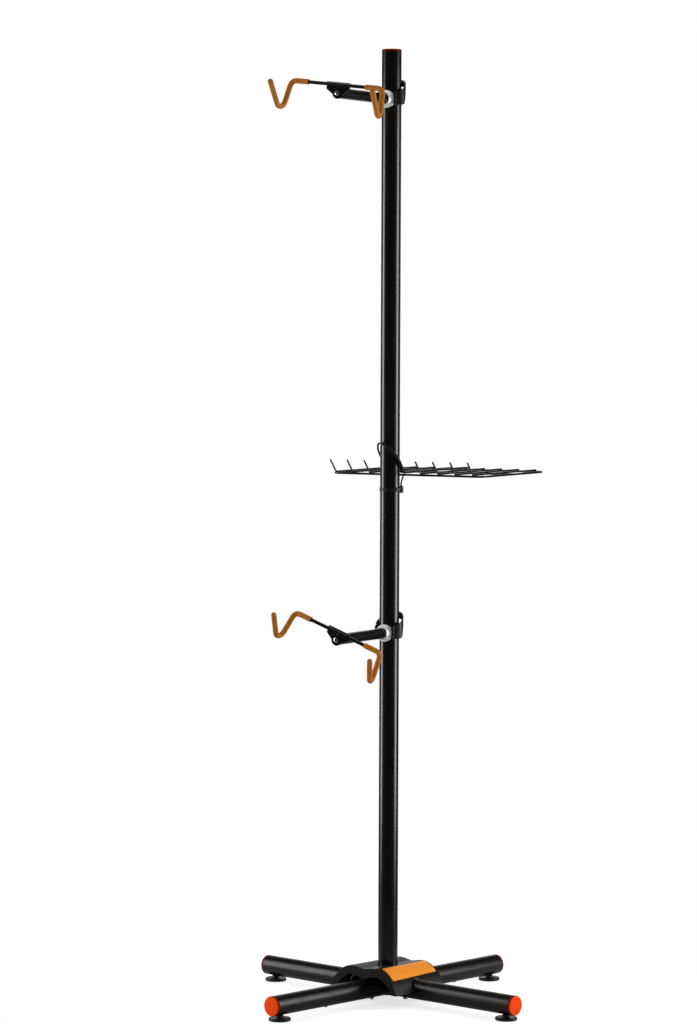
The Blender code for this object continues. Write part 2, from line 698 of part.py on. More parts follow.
def arm(name, heading, height, cradle_tilt):
    """An arm with what holds it to the post. In its frame X runs along the arm and Z is up."""
    along = (0, 90, 0)
    slide = empty_frame(name + "_arm_slide", location=(0, 0, height))
    put(tube(name + "_grip_bush", BUSH_RADIUS, BUSH_BORE, -BUSH_HALF, BUSH_HALF), slide, BLACK_PLASTIC)
    swivel = empty_frame(name + "_arm_swivel", slide, turn=(0, 0, heading))
    reach = SADDLE_RADIUS + OVERCUT
    bore = put(cylinder(name + "_saddle_bore", SADDLE_BORE, -reach, reach, sides=SADDLE_BORE_SIDES), swivel)

    pin_holes = []
    pin_outer = YOKE_FLANK + YOKE_WALL + GAP
    for side, sign in (("left", -1), ("right", 1)):
        turn = (-90 * sign, 0, 0)
        ends = (YOKE_PIN_INNER - GAP, pin_outer + OVERCUT)
        hole = cylinder(f"{name}_pin_hole_{side}", YOKE_PIN_RADIUS + GAP, *ends, sides=SMALL)
        put(hole, swivel, turn=turn).location.x = YOKE_PIN_AT
        pin_holes.append(hole)
        profile = domed_head(YOKE_PIN_HEAD, YOKE_PIN_HEAD_HEIGHT, pin_outer)
        profile += [(YOKE_PIN_RADIUS, pin_outer), (YOKE_PIN_RADIUS, YOKE_PIN_INNER), (0, YOKE_PIN_INNER)]
        pin = turned(f"{name}_yoke_pin_{side}", profile, sides=SMALL)
        put(pin, swivel, ZINC, turn).location.x = YOKE_PIN_AT
    saddle(name, swivel, bore, pin_holes)
    yoke(name, swivel, pin_holes)

    bar = tube(name + "_arm_tube", ARM_RADIUS, ARM_RADIUS - ARM_WALL, ARM_START, ARM_END, MIDDLING)
    put(bar, swivel, BLACK_PAINT, along)
    plug_back = ARM_END + GAP
    plug_face = plug_back + PLUG_FLANGE
    insert = ARM_RADIUS - ARM_WALL - GAP
    clearance = PIVOT_RADIUS + GAP
    profile = [
        (ARM_RADIUS, plug_face),
        (ARM_RADIUS, plug_back),
        (insert, plug_back),
        (insert, plug_back - PLUG_INSERT),
        (clearance, plug_back - PLUG_INSERT),
        (clearance, plug_face),
    ]
    put(turned(name + "_arm_end_plug", profile, ring=True, sides=MIDDLING), swivel, BLACK_PAINT, along)
    low = plug_face + GAP
    washer = tube(name + "_tilt_washer", WASHER_RADIUS, clearance, low, low + WASHER_WALL, MIDDLING)
    put(washer, swivel, BLACK_PLASTIC, along)

    tilt = empty_frame(name + "_cradle_tilt", swivel, turn=(-cradle_tilt, 0, 0))
    bracket_face = cradle(name, tilt)
    seat = bracket_face + GAP
    bolt_end = plug_back - PLUG_INSERT + SHANK_PAST_WALL
    profile = domed_head(PIVOT_HEAD, PIVOT_HEAD_HEIGHT, seat)
    profile += [(PIVOT_RADIUS, seat), (PIVOT_RADIUS, bolt_end), (0, bolt_end)]
    put(turned(name + "_pivot_bolt", profile, sides=SMALL), swivel, ZINC, along)


def tray_level(ahead):
    """Height of the rim's centre line. The tray rises a little towards its far rim."""
    return TRAY_HEIGHT + TRAY_RISE * (ahead - TRAY_NEAR) / (TRAY_FAR - TRAY_NEAR)


def tray_frame(swivel):
    """The welded wire grid. X runs away from the post, and the right-hand end is at -Y."""
    corners = [
        (TRAY_NEAR, -TRAY_RIGHT, tray_level(TRAY_NEAR)),
        (TRAY_NEAR, TRAY_LEFT, tray_level(TRAY_NEAR)),
        (TRAY_FAR, TRAY_LEFT, tray_level(TRAY_FAR)),
        (TRAY_FAR, -TRAY_RIGHT, tray_level(TRAY_FAR)),
    ]
    rim = wire("tray_frame", bent(corners, TRAY_CORNER, 3, closed=True), RIM_RADIUS, closed=True)
    put(rim, swivel, BLACK_PAINT)
    middle = (TRAY_NEAR + TRAY_FAR) / 2
    ends = [(middle, -TRAY_RIGHT, tray_level(middle)), (middle, TRAY_LEFT, tray_level(middle))]
    fuse(rim, put(wire("tray_middle_wire", ends, RIM_RADIUS), swivel))
    for i in range(CROSS_COUNT):
        if i == HANGER_CROSS:
            continue
        side = CROSS_FIRST - CROSS_PITCH * i
        near = (TRAY_NEAR, side, tray_level(TRAY_NEAR) + CROSS_LIFT)
        far = (TRAY_FAR + RIM_RADIUS, side, tray_level(TRAY_FAR) + CROSS_LIFT)
        tip = (TRAY_NEAR - PRONG_RUN, side, near[2] + PRONG_RISE)
        path = bent([tip, near, far], PRONG_BEND, 2)
        fuse(rim, put(wire(f"tray_cross_wire_{i + 1}", path, CROSS_RADIUS, CROSS_SIDES), swivel))

    turn = math.radians(LOOP_TURN)
    drop = Vector((math.cos(turn), math.sin(turn))) * REST_WIRE_AT
    corners = [
        (TRAY_NEAR, CROSS_FIRST - CROSS_PITCH * HANGER_CROSS, tray_level(TRAY_NEAR)),
        (drop.x, drop.y, TRAY_HEIGHT - REST_WIRE_DROP),
        (drop.x, drop.y, REST_HEIGHT + REST_BOSS_BOTTOM + GAP),
    ]
    fuse(rim, put(wire("tray_rest_wire", bent(corners, REST_WIRE_BEND, 2), CROSS_RADIUS), swivel))


def loop_point(angle):
    """A point of the tilted loop. The angle is in degrees from the way that the loop is lowest."""
    a = math.radians(angle)
    x = LOOP_RADIUS * math.cos(a)
    return Vector((x, LOOP_RADIUS * math.sin(a), LOOP_MIDDLE - LOOP_SLOPE * x))


def tray_hanger(swivel, loop):
    """One wire: it comes in along the tray, goes round the post and runs back beside itself."""
    lift = RIM_RADIUS + GAP + LOOP_WIRE
    side = CROSS_FIRST - CROSS_PITCH * HANGER_CROSS
    into_loop = loop.matrix_local.inverted()

    def stem(ahead, offset):
        return into_loop @ Vector((ahead, side + offset, tray_level(ahead) + lift))

    circle = [loop_point(angle) for angle in range(LOOP_LEAVES, 361 - LOOP_LEAVES, LOOP_STEP)]
    left = bent([stem(TRAY_FAR, LOOP_PAIR), stem(STEM_START, LOOP_PAIR), circle[0]], STEM_BEND, 2)
    right = bent([circle[-1], stem(STEM_START, -LOOP_PAIR), stem(TRAY_FAR, -LOOP_PAIR)], STEM_BEND, 2)
    put(wire("tray_hanger", left + circle[1:-1] + right, LOOP_WIRE), loop, BLACK_PAINT)

    last = circle[-1]
    sleeved = [loop_point(angle) for angle in range(LOOP_SLEEVE_FROM, -LOOP_LEAVES, LOOP_STEP)]
    sleeved += [last, last.lerp(right[1], LOOP_SLEEVE_END)]
    sleeve = put(wire("tray_loop_sleeve", sleeved, LOOP_SLEEVE_RADIUS, SMALL), loop, BLACK_RUBBER)
    bore = [sleeved[0] * 2 - sleeved[1], *sleeved, sleeved[-1] * 2 - sleeved[-2]]
    cut(sleeve, put(wire("loop_sleeve_bore", bore, LOOP_WIRE + 2 * GAP), loop))


def tray_rest(loop):
    """The open ring that leans on the post below the tray, with a boss for the rest wire."""
    outline = arc((0, 0), REST_RADIUS, REST_FROM, REST_TO, 15)
    outline += arc((0, 0), REST_BORE, REST_TO, REST_FROM, 15)
    ring = put(plate("tray_rest_ring", outline, 2 * REST_HALF), loop, BLACK_RUBBER)
    ring.location.z = REST_HEIGHT
    edge = ring.modifiers.new("Rounded rims", "BEVEL")
    edge.width = REST_EDGE
    edge.segments = 1
    edge.limit_method = "ANGLE"
    edge.angle_limit = math.radians(60)
    inner = (REST_BORE + REST_RADIUS) / 2
    low = (inner, -REST_NECK_HALF, REST_HEIGHT - REST_HALF)
    high = (REST_WIRE_AT, REST_NECK_HALF, REST_HEIGHT + REST_HALF)
    fuse(ring, put(block("rest_neck", low, high), loop))
    low = REST_HEIGHT + REST_BOSS_BOTTOM
    high = REST_HEIGHT + REST_BOSS_TOP
    at = (REST_WIRE_AT, 0)
    fuse(ring, put(cylinder("rest_boss", REST_BOSS_RADIUS, low, high, at), loop))
    hole = cylinder("rest_wire_hole", CROSS_RADIUS + GAP, low - OVERCUT, high + OVERCUT, at, SMALL)
    cut(ring, put(hole, loop))


bolt_holes = [leg(side, angle) for side, angle in LEGS.items()]
base_hub(bolt_holes)
base_cover()
post()
for arm_name, (arm_heading, arm_height, arm_tilt) in ARMS.items():
    arm(arm_name, arm_heading, arm_height, arm_tilt)

tray_slide = empty_frame("tray_slide")
bush_low = REST_HEIGHT - TRAY_BUSH_HALF
bush_high = REST_HEIGHT + TRAY_BUSH_HALF
put(tube("tray_bush", TRAY_BUSH_RADIUS, BUSH_BORE, bush_low, bush_high), tray_slide, BLACK_PLASTIC)
tray_swivel = empty_frame("tray_swivel", tray_slide, turn=(0, 0, TRAY_HEADING))
tray_loop = empty_frame("tray_loop_frame", tray_swivel, turn=(0, 0, LOOP_TURN))
bpy.context.view_layer.update()
tray_frame(tray_swivel)
tray_hanger(tray_swivel, tray_loop)
tray_rest(tray_loop)
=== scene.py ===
# %% [markdown]
# # A bike display stand
# A tall post stands on four crossed legs. Two arms slide and swivel on it, and each carries a cradle
# of two rubber-sleeved hooks. A wire tray hangs from a loop round the post.
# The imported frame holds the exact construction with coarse, faceted surfaces. This lesson keeps every
# piece where the frame has it and models the surface that is seen: round tubes, softened edges,
# threads, welds and finishes.

import math

import bmesh
import bpy
from mathutils import Matrix, Vector


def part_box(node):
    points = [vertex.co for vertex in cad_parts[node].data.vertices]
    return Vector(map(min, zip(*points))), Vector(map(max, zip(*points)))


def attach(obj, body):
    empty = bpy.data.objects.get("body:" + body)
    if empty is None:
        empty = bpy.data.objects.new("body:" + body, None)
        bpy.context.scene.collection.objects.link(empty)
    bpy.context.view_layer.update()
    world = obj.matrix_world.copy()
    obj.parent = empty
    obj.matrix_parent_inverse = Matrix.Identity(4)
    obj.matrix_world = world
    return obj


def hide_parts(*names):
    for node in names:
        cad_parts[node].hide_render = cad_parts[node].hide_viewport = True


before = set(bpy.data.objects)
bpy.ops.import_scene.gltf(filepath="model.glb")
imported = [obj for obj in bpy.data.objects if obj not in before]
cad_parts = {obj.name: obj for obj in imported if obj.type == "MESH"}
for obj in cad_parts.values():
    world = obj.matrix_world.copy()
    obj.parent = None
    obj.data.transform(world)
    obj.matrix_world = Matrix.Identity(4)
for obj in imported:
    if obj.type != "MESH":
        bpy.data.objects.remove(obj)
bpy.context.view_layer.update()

# %% [markdown]
# The camera comes first, because it decides which details are seen. The photograph was taken from
# about 8 m, a little above the middle of the post and a little to its left, with a long lens.
# The camera object is turned in three steps: about the vertical, down, and about its own view.

# %% Camera
CAMERA_PLACE = Vector((-0.3932, -8.0934, 1.4895))
CAMERA_HEADING = math.radians(-2.124)
CAMERA_DOWN = math.radians(2.707)
CAMERA_ROLL = math.radians(0.22)
LENS = 126.56

bpy.ops.object.select_all(action="DESELECT")
turn = (
    Matrix.Rotation(CAMERA_HEADING, 3, "Z")
    @ Matrix.Rotation(math.radians(90) - CAMERA_DOWN, 3, "X")
    @ Matrix.Rotation(CAMERA_ROLL, 3, "Z")
)
bpy.ops.object.camera_add(location=CAMERA_PLACE, rotation=turn.to_euler())
camera = bpy.context.object
camera.data.lens = LENS
camera.data.sensor_width = 36
camera.data.clip_end = 60
bpy.context.scene.camera = camera
print("camera at", tuple(round(value, 3) for value in camera.location))

# %% [markdown]
# The world, the floor and every finish are trees of shader nodes. By hand, each node is added, its
# settings are chosen, and its inputs get a value or a link. Two helpers do this, so that the cells
# below read like a list of nodes.

# %% Nodes
def feed(tree, node, *values, **named):
    """Give a node's inputs a value or a link: the first inputs in order, and others by their names."""
    inputs = {label.replace("_", " "): value for label, value in named.items()}
    for key, value in [*enumerate(values), *inputs.items()]:
        if isinstance(value, bpy.types.NodeSocket):
            tree.links.new(value, node.inputs[key])
        else:
            node.inputs[key].default_value = value
    return node


def add_node(tree, kind, *values, **named):
    """Add a node to a tree. A name in small letters is a setting of it, and the rest are its inputs."""
    node = tree.nodes.new("ShaderNode" + kind)
    settings = {label: value for label, value in named.items() if label.islower()}
    for label, value in settings.items():
        setattr(node, label, value)
    inputs = {label: value for label, value in named.items() if label not in settings}
    return feed(tree, node, *values, **inputs)


def math_node(tree, operation, *values):
    return add_node(tree, "Math", *values, operation=operation).outputs[0]


def range_node(tree, value, low, high, to_low, to_high):
    """A Map Range node that eases in and out."""
    ends = (low, high, to_low, to_high)
    return add_node(tree, "MapRange", value, *ends, interpolation_type="SMOOTHSTEP").outputs["Result"]


def seen_directly(tree):
    """1 for what the camera sees, straight, in a gloss or through glass, and 0 for other rays."""
    rays = add_node(tree, "LightPath").outputs
    straight = math_node(tree, "MAXIMUM", rays["Is Camera Ray"], rays["Is Transmission Ray"])
    return math_node(tree, "MAXIMUM", straight, rays["Is Glossy Ray"])

# %% [markdown]
# The background of a product photograph is white, and the floor only shows a soft shadow. The world
# gives a soft even light, and it is plain white where the camera sees it, straight or in a gloss.
# A studio is only white behind the object. On the camera's side it is dark, apart from the lamps, and
# this is what gloss black needs, so a gloss sees the full white only in the directions behind.

# %% World
SKY_LIGHT = 0.56
DARK_SIDE = 0.04
WHITE_FROM = 0.80
WHITE_AT = 0.95
WHITE = (1, 1, 1, 1)

world = bpy.data.worlds.new("studio")
bpy.context.scene.world = world
world.use_nodes = True
tree = world.node_tree
tree.nodes.clear()
soft = add_node(tree, "Background", Color=WHITE, Strength=SKY_LIGHT)
direction = add_node(tree, "SeparateXYZ", add_node(tree, "TexCoord").outputs["Generated"])
behind = range_node(tree, direction.outputs["Y"], WHITE_FROM, WHITE_AT, DARK_SIDE - 1, 0)
in_gloss = add_node(tree, "LightPath").outputs["Is Glossy Ray"]
level = math_node(tree, "MULTIPLY_ADD", in_gloss, behind, 1)
white = add_node(tree, "Background", Color=WHITE, Strength=level)
choose = add_node(tree, "MixShader", seen_directly(tree), soft.outputs[0], white.outputs[0])
add_node(tree, "OutputWorld", choose.outputs[0])
print("world:", len(tree.nodes), "nodes")

# %% [markdown]
# The floor is a sheet of pale paper. Near the object it is a real surface that takes its shadow, with
# light added for the camera, so that it shows white. A gloss sees that added light behind the object
# only, as in the world. Further out the paper fades into the white of the world, so that the picture
# has no horizon.

# %% Floor
FLOOR_SIZE = 6
FLOOR_WHITE = 0.45
FLOOR_LIFT = 0.68
FADE_FROM = 0.50
FADE_TO = 0.85
GLOSS_FADE = 0.6

bpy.ops.object.select_all(action="DESELECT")
bpy.ops.mesh.primitive_plane_add(size=FLOOR_SIZE, location=(0, 0, -0.0002))
floor = bpy.context.object
floor.name = "studio_floor"
sheet = bpy.data.materials.new("floor_paper")
sheet.use_nodes = True
tree = sheet.node_tree
tree.nodes.clear()
paper = add_node(tree, "BsdfDiffuse", Color=(FLOOR_WHITE, FLOOR_WHITE, FLOOR_WHITE, 1))
place = add_node(tree, "TexCoord").outputs["Object"]
ahead = add_node(tree, "SeparateXYZ", place)
behind = range_node(tree, ahead.outputs["Y"], 0, GLOSS_FADE, -1, 0)
in_gloss = add_node(tree, "LightPath").outputs["Is Glossy Ray"]
seen = math_node(tree, "MULTIPLY_ADD", in_gloss, behind, seen_directly(tree))
lift = add_node(tree, "Emission", Strength=math_node(tree, "MULTIPLY", seen, FLOOR_LIFT))
lit = add_node(tree, "AddShader", paper.outputs[0], lift.outputs[0])
distance = add_node(tree, "VectorMath", place, operation="LENGTH")
far_out = range_node(tree, distance.outputs["Value"], FADE_FROM, FADE_TO, 0, 1)
clear = add_node(tree, "BsdfTransparent")
fade = add_node(tree, "MixShader", far_out, lit.outputs[0], clear.outputs[0])
add_node(tree, "OutputMaterial", fade.outputs[0])
floor.data.materials.append(sheet)
print("floor", FLOOR_SIZE, "m across")

# %% [markdown]
# Gloss black shows its shape only by what it mirrors. A tall soft box on each side, a little in front
# of the post on the right and a little behind it on the left, gives the post its two light strips.
# One overhead, a little behind, lies along the tops of the legs.

# %% Lamps
POST_MIDDLE = Vector((0, 0, 1.05))


def soft_box(name, azimuth, distance, height, size, watts):
    """A soft box that faces the post. The azimuth is seen from above, from the camera's side."""
    angle = math.radians(azimuth)
    place = Vector((math.sin(angle), -math.cos(angle), 0)) * distance + Vector((0, 0, height))
    bpy.ops.object.select_all(action="DESELECT")
    facing = (place - POST_MIDDLE).to_track_quat("Z", "Y").to_euler()
    bpy.ops.object.light_add(type="AREA", location=place, rotation=facing)
    lamp = bpy.context.object
    lamp.name = name
    lamp.data.shape = "RECTANGLE"
    lamp.data.size, lamp.data.size_y = size
    lamp.data.energy = watts
    return lamp


soft_box("right_soft_box", azimuth=84, distance=2.3, height=1.12, size=(1.0, 2.1), watts=48)
soft_box("left_soft_box", azimuth=-97, distance=2.3, height=1.12, size=(0.8, 2.1), watts=42)
soft_box("top_soft_box", azimuth=180, distance=0.5, height=3.4, size=(2.2, 1.6), watts=14)
bpy.context.scene.view_settings.view_transform = "Standard"
print("lamps:", [lamp.name for lamp in bpy.data.lights])

# %% [markdown]
# Two effects are used by more than one finish, so each is a node group with its own inputs.
# "surface_grain" is the fine unevenness that every sprayed or moulded surface has, and slow patches
# that make the gloss vary. "handling_marks" are the hairline rubs that a used surface gets.
# Each finish places the groups with its own sizes.

# %% Shared node groups
def make_group(name, outputs, **values):
    """An empty group with a Vector and named numbers as inputs, and numbers as outputs."""
    group = bpy.data.node_groups.new(name, "ShaderNodeTree")
    new_socket = group.interface.new_socket
    new_socket("Vector", in_out="INPUT", socket_type="NodeSocketVector")
    for label, value in values.items():
        number = new_socket(label.replace("_", " "), in_out="INPUT", socket_type="NodeSocketFloat")
        number.default_value = value
    for label in outputs:
        new_socket(label, in_out="OUTPUT", socket_type="NodeSocketFloat")
    return group, group.nodes.new("NodeGroupInput").outputs, group.nodes.new("NodeGroupOutput")


grain, given, result = make_group(
    "surface_grain", ("Height", "Patches"), Grain_per_metre=900, Patches_per_metre=12
)
fine = add_node(
    grain, "TexNoise", Vector=given["Vector"], Scale=given["Grain per metre"], Detail=3, Roughness=0.55
)
slow = add_node(
    grain, "TexNoise", Vector=given["Vector"], Scale=given["Patches per metre"],
    Detail=4, Roughness=0.6, Distortion=0.4,
)
spread = add_node(grain, "MapRange", Value=slow.outputs["Fac"], From_Min=0.32, From_Max=0.68)
feed(grain, result, Height=fine.outputs["Fac"], Patches=spread.outputs["Result"])

marks, given, result = make_group("handling_marks", ("Mask",), Marks_per_metre=60, Amount=0.3)
squeeze = add_node(
    marks, "Mapping", Vector=given["Vector"], Rotation=(0.5, 0.3, 0.7), Scale=(1, 1, 0.06)
)
streaks = add_node(
    marks, "TexNoise", Vector=squeeze.outputs["Vector"], Scale=given["Marks per metre"],
    Detail=5, Roughness=0.7,
)
thin = add_node(marks, "MapRange", Value=streaks.outputs["Fac"], From_Min=0.60, From_Max=0.72)
feed(marks, result, Mask=math_node(marks, "MULTIPLY", thin.outputs["Result"], given["Amount"]))
print("groups:", grain.name, marks.name)

# %% [markdown]
# One function lays out what all the finishes share: two close tones mixed by the slow patches,
# a roughness between two limits that the marks push up, and a bump from the grain.
# What is the same all over, such as the metal value or the specular level, is a plain number on
# the shader.

# %% One function for every finish
RUBBED_DULL = 0.35


def make_finish(name, tones, roughness, grain_size, depth, marks_amount, patches=12, **plain):
    """A painted, moulded or plated finish. The depth is that of the grain, in metres."""
    material = bpy.data.materials.new(name)
    material.use_nodes = True
    tree = material.node_tree
    shader = tree.nodes["Principled BSDF"]
    place = add_node(tree, "TexCoord").outputs["Object"]
    uneven = add_node(
        tree, "Group", node_tree=grain, Vector=place,
        Grain_per_metre=1 / grain_size, Patches_per_metre=patches,
    ).outputs
    rubbed = add_node(tree, "Group", node_tree=marks, Vector=place, Amount=marks_amount)
    low, high = ((*tone, 1) for tone in tones)
    tone = add_node(tree, "Mix", data_type="RGBA", Factor=uneven["Patches"], A=low, B=high)
    gloss = add_node(
        tree, "MapRange", Value=uneven["Patches"], To_Min=roughness[0], To_Max=roughness[1]
    )
    worn = math_node(tree, "MULTIPLY_ADD", rubbed.outputs["Mask"], RUBBED_DULL, gloss.outputs["Result"])
    bump = add_node(tree, "Bump", Strength=1, Distance=depth, Height=uneven["Height"])
    tone, normal = tone.outputs["Result"], bump.outputs["Normal"]
    feed(tree, shader, Base_Color=tone, Roughness=worn, Normal=normal, **plain)
    return material

# %% [markdown]
# The post, the arms and the wires are sprayed in one gloss black. The legs, the yokes and the pins wear
# it more satin, so their highlights are broad and dim. The plugs are one orange-red plastic; round
# their rims a deep red is painted in as shade, though the rims are the same plastic. The rubber sleeves
# are brown-orange, and the cups by the post are a bright cast alloy.

# %% The finishes
BLACK_PAINT = make_finish(
    "gloss_black_powder_coat",
    ((0.0018, 0.0015, 0.0014), (0.0028, 0.0024, 0.0022)), roughness=(0.20, 0.27),
    grain_size=0.0022, depth=0.0000035, marks_amount=0.15, Specular_IOR_Level=0.52,
)
SATIN_PAINT = make_finish(
    "satin_black_powder_coat",
    ((0.0022, 0.0018, 0.0016), (0.0034, 0.0029, 0.0026)), roughness=(0.30, 0.37),
    grain_size=0.0022, depth=0.000012, marks_amount=0.15, Specular_IOR_Level=0.28,
)
COVER_PLASTIC = make_finish(
    "satin_moulded_cover",
    ((0.0100, 0.0086, 0.0073), (0.0140, 0.0123, 0.0105)), roughness=(0.30, 0.38),
    grain_size=0.0007, depth=0.00002, marks_amount=0.2, Specular_IOR_Level=0.09,
)
BLACK_PLASTIC = make_finish(
    "black_moulded_plastic",
    ((0.004, 0.0038, 0.0036), (0.007, 0.0065, 0.006)), roughness=(0.32, 0.44),
    grain_size=0.0007, depth=0.00002, marks_amount=0.3, Specular_IOR_Level=0.35,
)
ORANGE_PLASTIC = make_finish(
    "orange_red_plastic",
    ((0.86, 0.052, 0.0015), (0.91, 0.064, 0.0025)), roughness=(0.50, 0.60),
    grain_size=0.0008, depth=0.00001, marks_amount=0.2, patches=40, Specular_IOR_Level=0.04,
)
# The plugs' rims are the same orange-red plastic; this deep red is shade painted onto them.
PAINTED_RIM_SHADE = make_finish(
    "orange_plastic_painted_rim_shade",
    ((0.120, 0.0095, 0.003), (0.160, 0.0125, 0.004)), roughness=(0.50, 0.60),
    grain_size=0.0008, depth=0.00001, marks_amount=0.2, patches=40, Specular_IOR_Level=0.04,
)
AMBER_RUBBER = make_finish(
    "amber_rubber_sleeve",
    ((0.34, 0.110, 0.007), (0.44, 0.150, 0.011)), roughness=(0.40, 0.52),
    grain_size=0.0010, depth=0.000012, marks_amount=0.25, patches=60, Specular_IOR_Level=0.14,
)
BLACK_RUBBER = make_finish(
    "black_rubber",
    ((0.0035, 0.0033, 0.0032), (0.006, 0.0056, 0.0053)), roughness=(0.42, 0.54),
    grain_size=0.0006, depth=0.00002, marks_amount=0.3, Specular_IOR_Level=0.30,
)
BRIGHT_METAL = make_finish(
    "bright_cast_alloy",
    ((0.90, 0.90, 0.90), (0.95, 0.95, 0.94)), roughness=(0.40, 0.52),
    grain_size=0.0015, depth=0.00001, marks_amount=0.35, patches=50, Metallic=0.6,
)
ZINC = make_finish(
    "zinc_plated_steel",
    ((0.50, 0.50, 0.52), (0.62, 0.62, 0.60)), roughness=(0.28, 0.40),
    grain_size=0.0006, depth=0.00001, marks_amount=0.3, patches=90, Metallic=1.0,
)
LABEL_ORANGE = make_finish(
    "orange_label_film",
    ((0.78, 0.25, 0.016), (0.86, 0.29, 0.021)), roughness=(0.28, 0.36),
    grain_size=0.0012, depth=0.000008, marks_amount=0.2, patches=30, Specular_IOR_Level=0.3,
)
LABEL_EDGE = make_finish(
    "dark_label_border",
    ((0.006, 0.005, 0.005), (0.009, 0.008, 0.008)), roughness=(0.28, 0.36),
    grain_size=0.0012, depth=0.000008, marks_amount=0.2, Specular_IOR_Level=0.3,
)
print("finishes:", len(bpy.data.materials) - 1)

# %% [markdown]
# The next helpers do by script what a modeller does by hand: start from a ring, push it on and scale it
# in edit mode, and at the end merge what meets. The ring stays selected after each step, so the next
# step goes on from there.

# %% Rings in edit mode
MERGE = 0.000001


def alone(obj):
    """Select one object and nothing else."""
    bpy.ops.object.select_all(action="DESELECT")
    obj.select_set(True)
    bpy.context.view_layer.objects.active = obj
    return obj


def new_ring(name, radius, place=(0, 0, 0), facing=(0, 0, 1), sides=64, filled=False):
    """A circle that faces along a direction, with its place in its mesh."""
    bpy.ops.object.select_all(action="DESELECT")
    bpy.ops.mesh.primitive_circle_add(
        vertices=sides, radius=radius, fill_type="NGON" if filled else "NOTHING",
        location=place, rotation=Vector(facing).to_track_quat("Z", "Y").to_euler(),
    )
    bpy.ops.object.transform_apply(location=True, rotation=True, scale=True)
    ring = bpy.context.object
    ring.name = name
    ring.data.name = name
    return ring


def begin_edit(obj):
    alone(obj)
    bpy.ops.object.mode_set(mode="EDIT")
    bpy.ops.mesh.select_all(action="SELECT")


def end_edit(merge=MERGE):
    """Merge what meets, turn the faces outwards, and leave edit mode."""
    bpy.ops.mesh.select_all(action="SELECT")
    bpy.ops.mesh.remove_doubles(threshold=merge)
    bpy.ops.mesh.normals_make_consistent(inside=False)
    bpy.ops.object.mode_set(mode="OBJECT")


def push(step):
    bpy.ops.mesh.extrude_region_move(TRANSFORM_OT_translate={"value": tuple(step)})


def swell(factor, centre):
    bpy.ops.transform.resize(value=(factor, factor, factor), center_override=tuple(centre))

# %% [markdown]
# Most of the stand is round, so one function makes a round piece ring by ring, as a lathe would.
# A tube is a ring that is scaled out, pushed down, scaled in and brought back up inside, so it has
# a real wall and two open ends.

# %% Turned pieces and tubes
def turned_piece(name, rings, sides=64, hollow=False):
    """A round piece about Z, made ring by ring. A hollow one returns to its first ring."""
    obj = new_ring(name, rings[0][0], (0, 0, rings[0][1]), sides=sides, filled=not hollow)
    begin_edit(obj)
    path = rings + [rings[0]] if hollow else rings
    for (wide, low), (next_wide, high) in zip(path, path[1:]):
        push((0, 0, high - low))
        if next_wide != wide:
            swell(next_wide / wide, (0, 0, high))
    end_edit()
    return obj


def tube_piece(name, outer, inner, low, high, sides=96):
    return turned_piece(name, [(inner, high), (outer, high), (outer, low), (inner, low)], sides, True)

# %% [markdown]
# A piece is often made where it is easy to draw, and then moved to where it belongs. The move goes
# into its mesh, and so does each modifier, so a finished piece sits plainly at the origin.
# Real edges are never sharp: paint, moulds and tools all round them, and a bevel does that here.

# %% Place, modifiers and soft edges
def turned_by(degrees, axis):
    return Matrix.Rotation(math.radians(degrees), 4, axis)


def shifted(x, y, z):
    return Matrix.Translation((x, y, z))


def moved(obj, matrix):
    """Give the piece its place, and put the place in the mesh."""
    alone(obj)
    obj.matrix_world = matrix @ obj.matrix_world
    bpy.ops.object.transform_apply(location=True, rotation=True, scale=True)
    return obj


def apply_modifier(obj, kind, **values):
    alone(obj)
    modifier = obj.modifiers.new(kind.title(), kind)
    for label, value in values.items():
        setattr(modifier, label, value)
    bpy.ops.object.modifier_apply(modifier=modifier.name)


def soften(obj, width, segments=3, angle=35):
    """Round the hard edges."""
    apply_modifier(
        obj, "BEVEL", width=width, segments=segments, limit_method="ANGLE",
        angle_limit=math.radians(angle), use_clamp_overlap=True,
    )
    return obj

# %% [markdown]
# Every piece is finished in the same way. It is shaded smooth up to a limit of angle, gets its
# material, and is tied to the body that it moves with, and the imported node that it stands for is
# hidden.
# A count of open edges shows at once where a mesh is not closed.

# %% Finishing a piece
SMOOTH_ANGLE = math.radians(32)


def open_edges(obj):
    shape = bmesh.new()
    shape.from_mesh(obj.data)
    count = sum(1 for edge in shape.edges if not edge.is_manifold)
    shape.free()
    return count


def settle(obj, finish, body, slot, *nodes):
    """Finish a piece: smooth shading, material, the body that it moves with, what it stands for.

    Large faces set the normals, so that a long tube mirrors straight right up to its rounded rim.
    """
    alone(obj)
    bpy.ops.object.shade_smooth_by_angle(angle=SMOOTH_ANGLE)
    apply_modifier(obj, "WEIGHTED_NORMAL", keep_sharp=True)
    obj.data.materials.clear()
    obj.data.materials.append(finish)
    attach(obj, body)
    if nodes:
        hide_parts(*nodes)
    loose = open_edges(obj)
    print(f"{obj.name}: {len(obj.data.polygons)} faces" + (f", {loose} OPEN edges" if loose else ""))
    return obj

# %% [markdown]
# The post is two lengths of 44.5 mm tube in line, with a plug in its top end. The plug is turned too,
# and its head ends in a quarter round. Its faces are sorted by the way they face: those that look out
# from the tube get a deep red as painted shade, and those that look along it stay orange-red.

# %% Post
TUBE_RADIUS = 0.02225
TUBE_BORE = 0.02025
RIM_SOFT = 0.0005
POST_CAP_HEAD = 0.0055
GAP = 0.0003
INSERT_RADIUS = TUBE_BORE - GAP
LOOKS_ALONG = 0.7

for node, piece in (("lower_post", "lower_post_tube"), ("upper_post", "upper_post_tube")):
    low, high = (corner.z for corner in map(Vector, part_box(node)))
    tube = soften(tube_piece(piece, TUBE_RADIUS, TUBE_BORE, low, high), RIM_SOFT)
    settle(tube, BLACK_PAINT, "stand", "black_paint", node)


